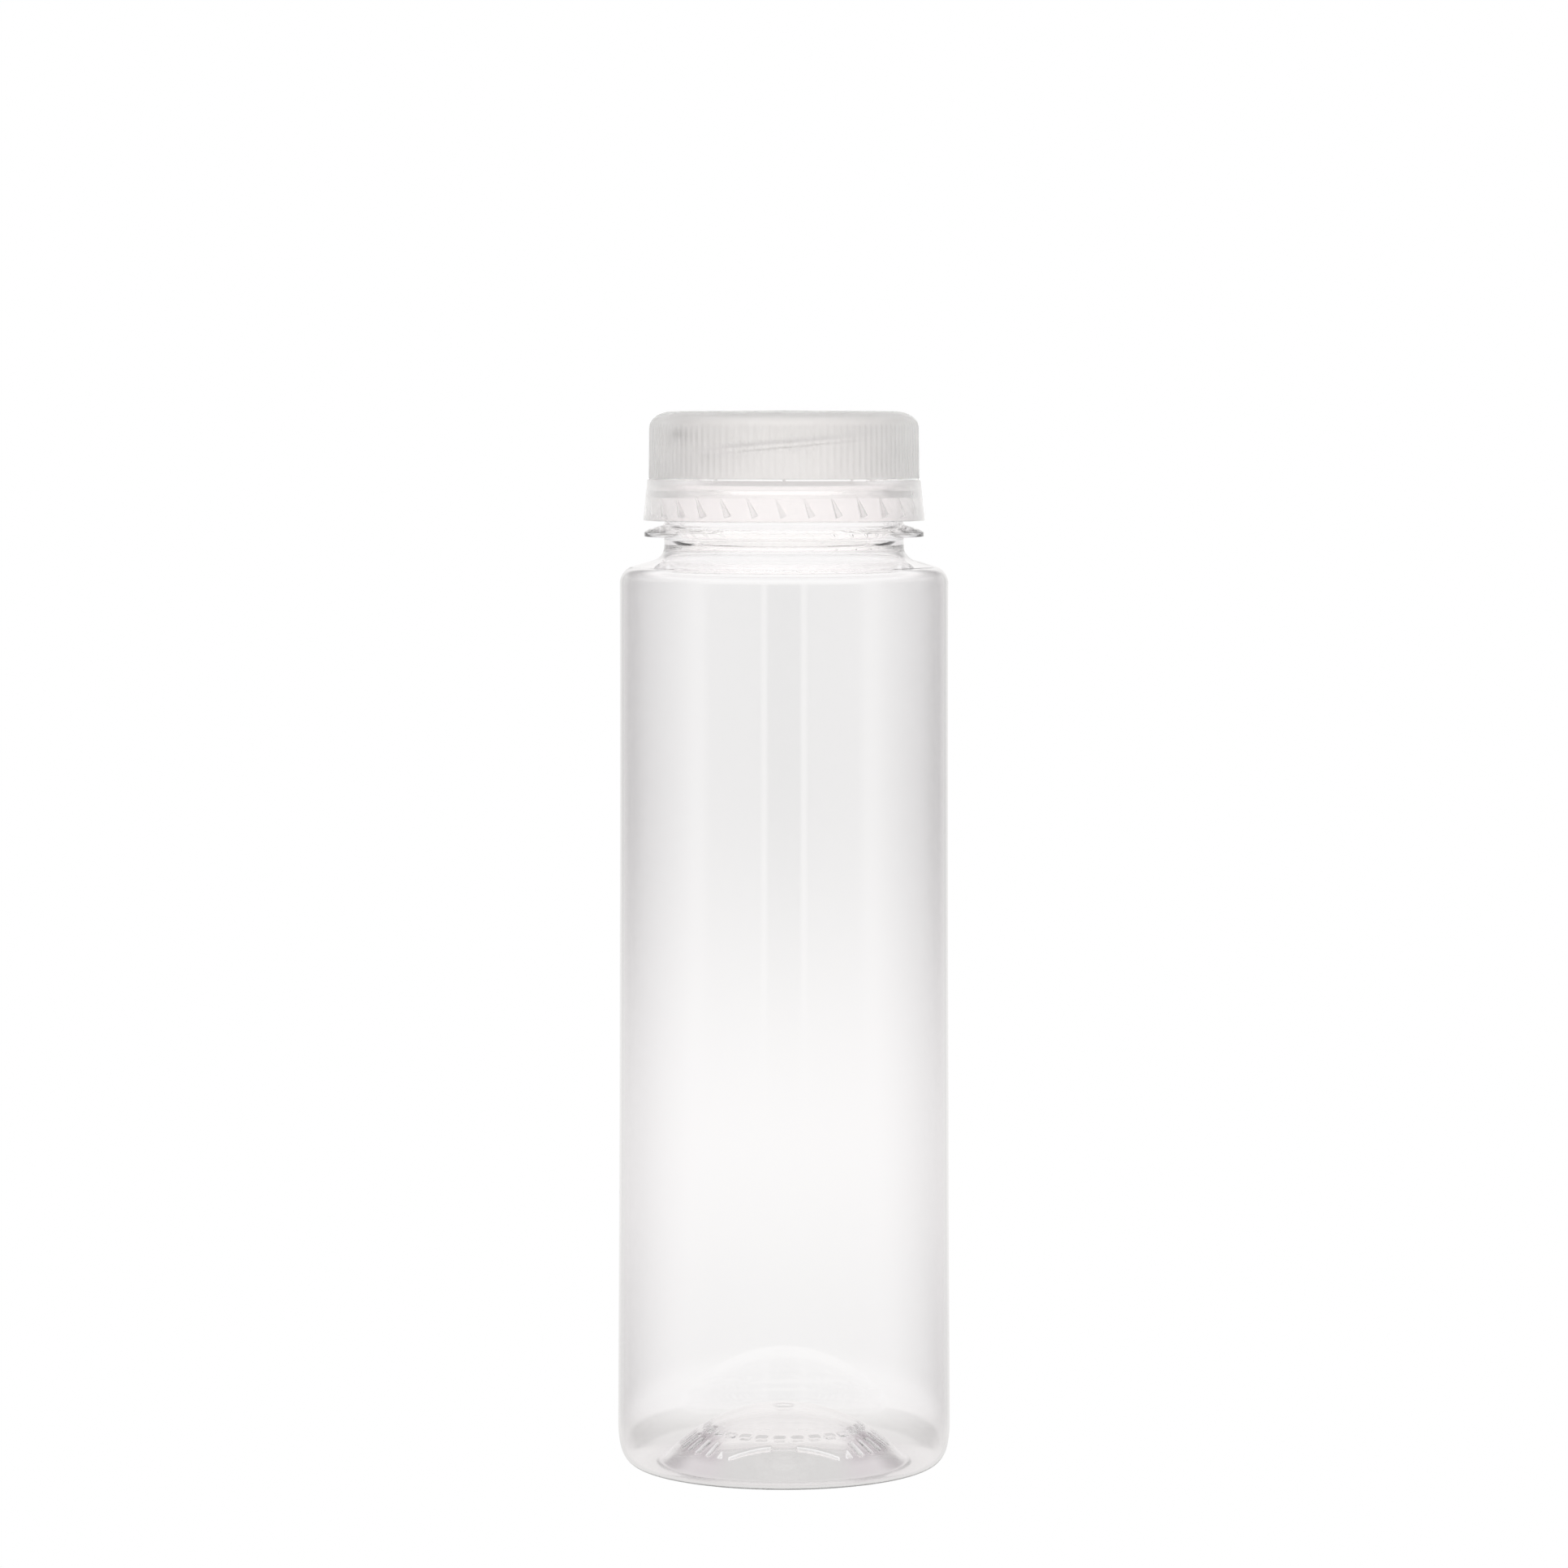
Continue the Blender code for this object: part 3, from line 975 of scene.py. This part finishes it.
    def foot(self, level: float, edge: Point, sphere: float) -> list[Point]:
        """The flat ring that the bottle stands on and its rounding into the dome.

        Args:
            level: Height of the ring's surface.
            edge: Where the dome starts, as radius and height.
            sphere: Radius of the dome's sphere.

        Returns:
            The profile's points.
        """
        slope = edge[0] / math.sqrt(sphere**2 - edge[0] ** 2)
        corner = edge[0] + (edge[1] - level) / slope
        corners = [
            (self.foot_outer, level, 0.0),
            (corner, level, self.foot_round),
            (corner - self.foot_run, level + self.foot_run * slope, 0.0),
        ]
        return rounded(corners, self.foot_steps)[:-1]

    def neck_finish(self) -> list[Point]:
        """Outer side of the neck: lip, thread wall, bead and support flange.

        Returns:
            The profile's points, top to bottom.
        """
        under = self.finish_radius + self.step_out
        root = self.flange_under + self.flange_root
        tip = self.flange_radius
        corners = [
            (self.bore, self.mouth - self.lip_round * 2.0, 0.0),
            (self.bore, self.mouth, self.lip_round),
            (self.finish_radius, self.mouth, self.lip_round),
            (self.finish_radius, self.bead_high + self.bead_slope, self.small_bend),
            (self.bead_radius, self.bead_high, self.bead_bend),
            (self.bead_radius, self.bead_low, self.bead_bend),
            (under, self.bead_low - self.bead_under, self.small_bend),
            (under, root + self.root_slope, self.soft_bend),
            (self.neck_radius + self.step_out, root, self.soft_bend),
            (tip - self.flange_top, self.flange_under + self.flange_rise, self.soft_bend),
            (tip, self.flange_under + self.flange_edge, self.tip_bend),
            (tip, self.flange_under, self.tip_bend),
            (self.neck_radius, self.flange_under, self.lip_round),
            (self.neck_radius, self.fillet_height + self.neck_run, 0.0),
        ]
        points = rounded(corners)
        lip = 4  # Points of the lip's inner side, which lie as low as the outer side starts
        below_lip = self.mouth - self.thread_zone[0]
        above_bead = self.bead_high + self.thread_zone[1]
        first = next(i for i, point in enumerate(points) if i > lip and point[1] < below_lip)
        last = next(i for i, point in enumerate(points) if i > lip and point[1] < above_bead)
        threaded = dense(points[first - 1 : last + 1], self.fine)
        return points[:first] + threaded[1:] + points[last + 1 :]

    def profile(self) -> list[Point]:
        """The whole wall section, up the inside from the axis and down the outside to it.

        Returns:
            The profile's points.
        """
        inner_apex = self.dome_apex + self.apex_wall
        drop = inner_apex - self.inner_dome_low
        inner_sphere = (self.inner_dome_edge**2 + drop**2) / (2.0 * drop)
        bore = rounded(
            [
                (self.bore, self.mouth - self.lip_round * 2.0, 0.0),
                (self.bore, self.flange_under + self.bore_end, self.bore_bends[0]),
                (self.bore + self.wall, self.flange_under - self.wall, self.bore_bends[1]),
                (self.neck_radius - self.wall, self.fillet_height - self.bore_run, 0.0),
            ]
        )
        inside = bore[1:-1] + self.side(self.wall)[2:]
        inner_edge = (self.inner_dome_edge, self.inner_dome_low)
        inner_spacing = 3.0 * self.dome_spacing
        inner_dome = self.dome(inner_apex, inner_sphere, self.inner_dome_edge, inner_spacing)
        inside += self.foot(self.wall, inner_edge, inner_sphere) + self.within(inner_dome)
        outside = self.neck_finish() + self.side(0.0)
        dome = self.dome(self.dome_apex, self.dome_radius, self.dome_edge, self.dome_spacing)
        outside += self.foot(0.0, dome[0], self.dome_radius) + self.gate(self.within(dome))
        return inside[::-1] + outside

    def within(self, dome: list[Point]) -> list[Point]:
        """The points of a dome's line that lie nearer the axis than the rounding of its foot."""
        return [point for point in dome if point[0] < self.dome_edge - self.foot_overlap]

    def gate(self, dome: list[Point]) -> list[Point]:
        """Hang the small moulding stub from the middle of the dome's underside.

        Args:
            dome: The dome's points, from its edge in to the axis.

        Returns:
            The points with the stub.
        """
        kept = [point for point in dome if point[0] > self.gate_radius + self.gate_gap]
        low = self.dome_apex - self.gate_height
        out, down = self.gate_root
        stub = rounded(
            [
                kept[-1] + (0.0,),
                (self.gate_radius + out, self.dome_apex - down, self.bead_bend),
                (self.gate_radius - self.gate_slope, low, self.soft_bend),
                (0.0, low, 0.0),
            ]
        )
        return kept + stub[1:]

    def build(self) -> bpy.types.Object:
        """Make the bottle as one closed wall with its thread.

        Returns:
            The piece.
        """
        tree = TurnTree("blown_wall", self.steps)
        none, full = (self.bore + reach for reach in self.outer_from)
        outer = tree.smooth(tree.radius, none, full)
        tree.swell(tree.times(outer, Thread().ridge(tree)))
        tree.lift(BaseMarks(apex=self.dome_apex, sphere=self.dome_radius).relief(tree))
        tree.finish(tree.wall, PET_FINISH.make())
        return tree.carry_out("clear_bottle", self.profile())


@dataclass(frozen=True)
class ScrewCap:
    """The hollow cap: rounded top edge, grip ribs and plain rim."""

    low: float
    high: float
    steps: int = 960
    radius: float = 20.37 * MM
    upper_radius: float = 20.28 * MM
    edge_centre: float = 157.35 * MM
    edge_width: float = 3.6 * MM
    edge_height: float = 2.5 * MM
    edge_steps: int = 16
    rim_round: float = 0.12 * MM
    ceiling_round: float = 0.7 * MM
    row_spacing: float = 1.2 * MM
    inner_radius: float = 19.15 * MM
    ceiling: float = 158.8 * MM
    ribs: int = 120
    groove_root: float = 20.17 * MM
    groove_low: float = 150.5 * MM
    groove_fade: float = 0.35 * MM
    groove_flanks: Point = (-0.2, 0.9)

    def profile(self) -> list[Point]:
        """The cap's wall section, out from the axis, down the skirt and back up inside.

        Returns:
            The profile's points.
        """
        edge = arc(
            (self.upper_radius - self.edge_width, self.edge_centre),
            self.edge_width,
            self.edge_height,
            0.5 * math.pi,
            0.0,
            self.edge_steps,
        )
        skirt = rounded(
            [
                (self.upper_radius, self.edge_centre, 0.0),
                (self.radius, self.low, self.rim_round),
                (self.inner_radius, self.low, self.rim_round),
                (self.inner_radius, self.ceiling, self.ceiling_round),
                (0.0, self.ceiling, 0.0),
            ]
        )
        return [(0.0, self.high)] + edge + dense(skirt, self.row_spacing)[1:]

    def build(self) -> bpy.types.Object:
        """Make the cap, with its grooves cut by nodes.

        Returns:
            The piece.
        """
        tree = TurnTree("ribbed_cap", self.steps)
        ribs = tree.count("Rib Count", self.ribs)
        root = tree.number("Groove Root Radius", self.groove_root)
        low = tree.number("Groove Bottom", self.groove_low)
        fade = tree.number("Groove Fade", self.groove_fade)
        groove = tree.smooth(tree.math("COSINE", tree.times(tree.angle, ribs)), *self.groove_flanks)
        depth = tree.most(tree.minus(tree.radius, root), 0.0)
        zone = tree.smooth(tree.z, low, tree.plus(low, fade))
        cut = tree.times(depth, tree.times(groove, zone))
        tree.swell(tree.times(cut, -1.0))
        tree.finish(tree.wall, CAP_FINISH.make())
        return tree.carry_out("ribbed_cap", self.profile())


@dataclass(frozen=True)
class TamperBand:
    """The band under the cap: plain collar, thinner skirt and leaning, wedge-shaped flaps."""

    low: float
    high: float
    steps: int = 240
    top_radius: float = 20.58 * MM
    low_radius: float = 21.2 * MM
    collar_radius: float = 19.6 * MM
    collar_low: float = 147.7 * MM
    skirt_top_radius: float = 20.0 * MM
    skirt_low_radius: float = 20.35 * MM
    flaps: int = 30
    flap_inner: float = 19.55 * MM
    flap_outer: float = 20.4 * MM
    flap_thickness: float = 0.9 * MM
    flap_length: float = 3.0 * MM
    flap_middle: float = 145.6 * MM
    flap_lean: float = math.radians(24.0)
    flap_taper: float = 0.2
    flap_phase: float = math.radians(4.0)
    tilt: float = 0.11 * MM
    tilt_towards: float = math.radians(-50.0)
    tilt_rows: Point = (1.2 * MM, 0.4 * MM)
    rim_round: float = 0.12 * MM
    low_round: float = 0.15 * MM
    step_round: float = 0.5 * MM
    bend_steps: int = 3
    collar_step: Point = (0.8 * MM, 0.2 * MM)

    def profile(self) -> list[Point]:
        """The band's closed wall section.

        Returns:
            The profile's points, the first again at the end.
        """
        middle = (0.5 * (self.top_radius + self.collar_radius), self.high)
        down, up = self.collar_step
        corners = [
            (*middle, 0.0),
            (self.top_radius, self.high, self.rim_round),
            (self.low_radius, self.low, self.low_round),
            (self.skirt_low_radius, self.low, self.low_round),
            (self.skirt_top_radius, self.collar_low - down, self.step_round),
            (self.collar_radius, self.collar_low + up, self.step_round),
            (self.collar_radius, self.high, self.rim_round),
            (*middle, 0.0),
        ]
        return rounded(corners, self.bend_steps)

    def flap(self, tree: TurnTree) -> Socket:
        """One flap: a wedge whose foot is at the origin and whose length runs up.

        Args:
            tree: The band's tree.

        Returns:
            The flap's geometry.
        """
        size = tree.vector(
            X=self.flap_outer - self.flap_inner,
            Y=tree.number("Flap Thickness", self.flap_thickness),
            Z=tree.number("Flap Length", self.flap_length),
        )
        wedge = tree.node(
            "GeometryNodeMeshCone",
            {
                "Vertices": 4,
                "Radius Top": self.flap_taper * math.sqrt(0.5),
                "Radius Bottom": math.sqrt(0.5),
                "Depth": 1.0,
            },
        )
        square = tree.node(
            "GeometryNodeTransform",
            {
                "Geometry": wedge.outputs[0],
                "Translation": (0.0, 0.0, -0.5),
                "Rotation": (0.0, 0.0, 0.25 * math.pi),
            },
        )
        plate = tree.node(
            "GeometryNodeTransform", {"Geometry": square.outputs[0], "Scale": size}
        )
        return plate.outputs[0]

    def build(self) -> bpy.types.Object:
        """Make the band, with the flaps set round it and joined on by nodes.

        Returns:
            The piece.
        """
        tree = TurnTree("tamper_band", self.steps)
        count = tree.count("Flap Count", self.flaps)
        lean = tree.number("Flap Lean", self.flap_lean)
        low, high = (self.high - drop for drop in self.tilt_rows)
        top = tree.smooth(tree.z, low, high)
        turn = tree.math("COSINE", tree.minus(tree.angle, self.tilt_towards))
        tree.lift(tree.times(top, tree.times(tree.minus(1.0, turn), self.tilt)))
        radius = 0.5 * (self.flap_inner + self.flap_outer)
        points = tree.ring(count, radius, self.flap_middle, self.flap_phase)
        aim = tree.node(
            "FunctionNodeAlignRotationToVector",
            {"Vector": tree.vector(X=tree.x, Y=tree.y)},
            axis="X",
            pivot_axis="Z",
        )
        turned = tree.node(
            "FunctionNodeRotateRotation",
            {"Rotation": aim.outputs[0], "Rotate By": tree.vector(X=lean)},
            rotation_space="LOCAL",
        )
        flaps = tree.node(
            "GeometryNodeInstanceOnPoints",
            {"Points": points, "Instance": self.flap(tree), "Rotation": turned.outputs[0]},
        )
        real = tree.node("GeometryNodeRealizeInstances", {"Geometry": flaps.outputs[0]})
        joined = tree.node("GeometryNodeMeshBoolean", operation="UNION", solver="EXACT")
        for mesh in (tree.wall, real.outputs[0]):
            tree.feed(joined.inputs["Mesh 2"], mesh)
        tree.finish(joined.outputs[0], BAND_FINISH.make())
        return tree.carry_out("tamper_evident_band", self.profile(), CREASE)


@dataclass(frozen=True)
class Bridges:
    """The thin posts that hold band and cap together until the bottle is first opened."""

    low: float
    high: float
    count: int = 12
    radius: float = 20.1 * MM
    thickness: float = 0.35 * MM
    overlap: float = 0.03 * MM
    sides: int = 10

    def build(self) -> bpy.types.Object:
        """Make all the posts as one mesh.

        Returns:
            The piece.
        """
        tree = FormTree("tamper_bridges")
        count = tree.count("Bridge Count", self.count)
        radius = tree.number("Ring Radius", self.radius)
        height = self.high - self.low + 2.0 * self.overlap
        points = tree.ring(count, radius, 0.5 * (self.low + self.high))
        post = tree.node(
            "GeometryNodeMeshCylinder",
            {"Vertices": self.sides, "Radius": 0.5 * self.thickness, "Depth": height},
        )
        posts = tree.node(
            "GeometryNodeInstanceOnPoints", {"Points": points, "Instance": post.outputs[0]}
        )
        tree.finish(posts.outputs[0], BAND_FINISH.make())
        return tree.carry_out("tamper_bridges", [(0.0, 0.0), (0.0, MM)], CREASE)


def grey(level: float) -> Colour:
    """A faintly rosy grey of a linear brightness."""
    return (level, level * 0.992, level * 0.982)


def azimuth_stops(table: Table) -> Stops:
    """Stops for a ramp read at angle / 180, from degrees off the front and brightnesses."""
    return tuple((angle / 180.0, grey(level)) for angle, level in table)


@dataclass(frozen=True)
class Studio:
    """White surroundings: soft light for milky plastic, bright behind and darker at the sides
    for what clear walls mirror and bend, and a white table.

    The tables go from the front, 0 degrees, to the back, 180, with a brightness for each angle.
    A pair named to something is where that comes in and is full, in degrees above the horizon.
    A ray that has crossed straight_walls surfaces has passed both walls of the body.
    """

    upper: Table = (
        (0.0, 0.0), (10.0, 0.02), (11.5, 0.06), (12.5, 0.42), (15.5, 0.42), (17.0, 0.16),
        (40.0, 0.18), (56.0, 0.22), (59.0, 0.42), (68.0, 0.42), (74.0, 0.30), (85.0, 0.13),
        (100.0, 0.01), (125.0, 0.01), (134.0, 0.04), (141.0, 0.10), (148.0, 0.38),
        (157.0, 0.58), (168.0, 0.80), (180.0, 1.0),
    )
    middle: Table = (
        (0.0, 0.90), (70.0, 0.87), (85.0, 0.74), (101.0, 0.60), (116.0, 0.52), (134.0, 0.56),
        (147.0, 0.62), (157.0, 0.72), (180.0, 1.0),
    )
    lower: Table = (
        (0.0, 0.33), (50.0, 0.36), (70.0, 0.45), (85.0, 0.45), (101.0, 0.34), (116.0, 0.30),
        (134.0, 0.30), (147.0, 0.44), (157.0, 0.66), (180.0, 0.9),
    )
    steep: Table = (
        (0.0, 0.85), (55.0, 0.80), (85.0, 0.08), (148.0, 0.02), (158.0, 0.14), (167.0, 0.92),
        (180.0, 1.0),
    )
    past: Table = (
        (0.0, 0.9), (60.0, 0.7), (88.0, 0.10), (124.0, 0.10), (142.0, 0.9), (150.0, 1.0),
        (180.0, 1.0),
    )
    straight_walls: float = 4.0
    to_middle: Point = (-3.4, -7.3)
    to_lower: Point = (-7.5, -9.8)
    to_steep: Point = (8.0, 18.0)
    to_below: Point = (-12.0, -18.0)
    to_white: Point = (24.0, 38.0)
    to_table: Point = (-45.0, -65.0)
    past_to_white: Point = (35.0, 55.0)
    past_to_table: Point = (-11.5, -16.0)
    soft_to_above: Point = (35.0, 70.0)
    soft_round: Colour = (1.16, 1.155, 1.145)
    soft_above: Colour = (1.68, 1.67, 1.66)
    table_level: float = 0.64
    below: float = 0.75
    table_half: float = 4.0
    side_from: float = 7.0 * MM
    side_to: float = 12.0 * MM
    side_far: float = 21.0 * MM
    side_fade: float = 4.0 * MM
    side_end: float = 0.42
    side_end_fade: float = 0.2
    side_colour: Colour = (0.66, 0.62, 0.64)
    cover_full: float = 0.55
    shade_reach: float = 60.0 * MM
    shade: Table = ((0.0, 0.66), (0.28, 0.66), (0.4, 0.8), (0.8, 0.95), (1.0, 1.0))
    lens: float = 126.7
    sensor: float = 36.0
    eye: Corner = (0.0, -0.8324, 0.1558)
    look_down: float = math.radians(3.585)

    def world(self) -> None:
        """Build the surroundings: white to the eye, soft light and dark sides in reflections."""
        world = bpy.data.worlds.new("studio")
        bpy.context.scene.world = world
        world.use_nodes = True
        world.cycles.sampling_method = "NONE"
        sketch = NodeSketch(world.node_tree)
        background = world.node_tree.nodes["Background"]
        x, y, z = sketch.axes(sketch.node("ShaderNodeTexCoord").outputs["Generated"])
        aside = sketch.math("ARCTAN2", sketch.math("ABSOLUTE", x), sketch.times(y, -1.0))
        share = sketch.math("DIVIDE", aside, math.pi)
        rise = sketch.math("DEGREES", sketch.math("ARCSINE", z))
        mirrored = self.mirrored(sketch, share, rise)
        through = self.seen_through(sketch, share, rise)
        overhead = sketch.smooth(rise, *self.soft_to_above)
        soft = sketch.mix(overhead, (*self.soft_round, 1.0), (*self.soft_above, 1.0))
        path = sketch.node("ShaderNodeLightPath").outputs
        walls = path["Transmission Depth"]
        straight = sketch.math("COMPARE", walls, self.straight_walls, 0.5)
        through = sketch.mix(straight, through, WHITE)
        colour = sketch.mix(sketch.math("GREATER_THAN", walls, 0.5), WHITE, through)
        once = sketch.math("GREATER_THAN", path["Glossy Depth"], 0.5)
        often = sketch.math("GREATER_THAN", path["Glossy Depth"], 1.5)
        colour = sketch.mix(once, colour, mirrored)
        colour = sketch.mix(often, colour, WHITE)
        milky = sketch.minus(path["Is Glossy Ray"], path["Is Singular Ray"])
        spread = sketch.most(path["Diffuse Depth"], path["Is Diffuse Ray"], milky)
        colour = sketch.mix(sketch.math("GREATER_THAN", spread, 0.5), colour, soft)
        sketch.feed(background.inputs["Color"], colour)

    def mirrored(self, sketch: NodeSketch, share: Socket, rise: Socket) -> Socket:
        """What a clear wall mirrors, by direction.

        Args:
            sketch: The world's tree.
            share: Angle off the front, as a share of half a turn.
            rise: Angle above the horizon, in degrees.

        Returns:
            The brightness as a colour.
        """
        tables = (self.upper, self.middle, self.lower, self.steep)
        upper, middle, lower, steep = (sketch.ramp(share, azimuth_stops(t)) for t in tables)
        zones = (
            (self.to_middle, middle),
            (self.to_lower, lower),
            (self.to_steep, steep),
            (self.to_below, (*grey(self.below), 1.0)),
            (self.to_white, WHITE),
            (self.to_table, (*grey(self.table_level), 1.0)),
        )
        return self.by_rise(sketch, rise, upper, zones)

    def by_rise(
        self, sketch: NodeSketch, rise: Socket, level: Socket, zones: tuple[tuple[Point, Value], ...]
    ) -> Socket:
        """Lay zones over a brightness, one after the other.

        Args:
            sketch: The world's tree.
            rise: Angle above the horizon, in degrees.
            level: The brightness at the horizon.
            zones: Where each zone comes in and is full, and its colour.

        Returns:
            The brightness as a colour.
        """
        for zone, colour in zones:
            level = sketch.mix(sketch.smooth(rise, *zone), level, colour)
        return level

    def seen_through(self, sketch: NodeSketch, share: Socket, rise: Socket) -> Socket:
        """What is seen through a clear wall, by direction.

        Args:
            sketch: The world's tree.
            share: Angle off the front, as a share of half a turn.
            rise: Angle above the horizon, in degrees.

        Returns:
            The brightness as a colour.
        """
        past = sketch.ramp(share, azimuth_stops(self.past))
        zones = (
            (self.past_to_white, WHITE),
            (self.past_to_table, (*grey(self.table_level), 1.0)),
        )
        return self.by_rise(sketch, rise, past, zones)

    def floor(self) -> None:
        """Lay the plain white table, which is no part of the object."""
        mesh = bpy.data.meshes.new("table")
        side = self.table_half
        corners = [(-side, -side, 0.0), (side, -side, 0.0), (side, side, 0.0), (-side, side, 0.0)]
        mesh.from_pydata(corners, [], [(0, 1, 2, 3)])
        mesh.materials.append(self.table_finish())
        floor = bpy.data.objects.new("table", mesh)
        bpy.context.scene.collection.objects.link(floor)
        floor.visible_diffuse = False
        floor.visible_glossy = False
        floor.visible_shadow = False

    def table_finish(self) -> bpy.types.Material:
        """White to the eye and shaded under the bottle. Away from it, rays from the bottle pass.

        Returns:
            The table's material.
        """
        material = bpy.data.materials.new("white_table")
        material.use_nodes = True
        nodes = material.node_tree.nodes
        nodes.remove(nodes["Principled BSDF"])
        sketch = NodeSketch(material.node_tree)
        x, y, _ = sketch.axes(sketch.node("ShaderNodeTexCoord").outputs["Object"])
        away = sketch.math("DIVIDE", sketch.off_axis(x, y), self.shade_reach)
        shade = sketch.ramp(away, tuple((at, grey(level)) for at, level in self.shade))
        across = sketch.math("ABSOLUTE", x)
        aside = sketch.smooth(across, self.side_from, self.side_to)
        inner = sketch.smooth(across, self.side_far, self.side_far - self.side_fade)
        near = sketch.smooth(away, self.side_end, self.side_end - self.side_end_fade)
        aside = sketch.times(sketch.times(aside, inner), near)
        shade = sketch.mix(aside, shade, (*self.side_colour, 1.0))
        path = sketch.node("ShaderNodeLightPath").outputs
        bright = sketch.minus(1.0, path["Is Singular Ray"])
        glow = sketch.node("ShaderNodeEmission", {"Color": sketch.mix(bright, shade, WHITE)})
        cover = sketch.most(path["Is Camera Ray"], sketch.smooth(away, 1.0, self.cover_full))
        clear = sketch.node("ShaderNodeBsdfTransparent")
        surface = sketch.node(
            "ShaderNodeMixShader", {0: cover, 1: clear.outputs[0], 2: glow.outputs[0]}
        )
        sketch.feed(nodes["Material Output"].inputs["Surface"], surface.outputs[0])
        material.cycles.emission_sampling = "NONE"
        return material

    def light_paths(self) -> None:
        """Let light pass the many walls of clear plastic, and keep white plain white."""
        scene = bpy.context.scene
        scene.view_settings.view_transform = "Standard"
        scene.cycles.max_bounces = 32
        scene.cycles.glossy_bounces = 24
        scene.cycles.transmission_bounces = 24

    def camera(self) -> None:
        """Set the camera at the photograph's viewing angle."""
        data = bpy.data.cameras.new("camera")
        data.sensor_fit = "HORIZONTAL"
        data.sensor_width = self.sensor
        data.lens = self.lens
        data.clip_start = 0.01
        data.clip_end = 50.0
        camera = bpy.data.objects.new("camera", data)
        camera.location = self.eye
        camera.rotation_euler = (0.5 * math.pi - self.look_down, 0.0, 0.0)
        bpy.context.scene.collection.objects.link(camera)
        bpy.context.scene.camera = camera


def place(piece: bpy.types.Object, slot: Slot, *nodes: str) -> None:
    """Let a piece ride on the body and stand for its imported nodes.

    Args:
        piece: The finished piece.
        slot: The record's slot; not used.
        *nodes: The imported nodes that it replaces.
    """
    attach(piece, BODY)
    if nodes:
        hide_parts(*nodes)
    LOG.info("%s: %d faces", piece.name, len(piece.data.polygons))


def main() -> None:
    """Load the frame, build each piece in order and set the studio round them."""
    logging.basicConfig(level=logging.INFO, format="%(name)s %(message)s")
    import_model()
    studio = Studio()
    studio.light_paths()
    studio.camera()
    studio.world()
    studio.floor()
    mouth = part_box("bottle")[1].z
    cap_low, cap_high = (corner.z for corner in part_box("screw_cap"))
    band_low, band_high = (corner.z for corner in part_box("tamper_band"))
    place(BlownBottle(mouth=mouth).build(), Slot.PET, "bottle")
    place(ScrewCap(low=cap_low, high=cap_high).build(), Slot.CAP, "screw_cap")
    place(TamperBand(low=band_low, high=band_high).build(), Slot.BAND, "tamper_band")
    place(Bridges(low=band_high, high=cap_low).build(), Slot.BAND)


if __name__ == "__main__":
    main()
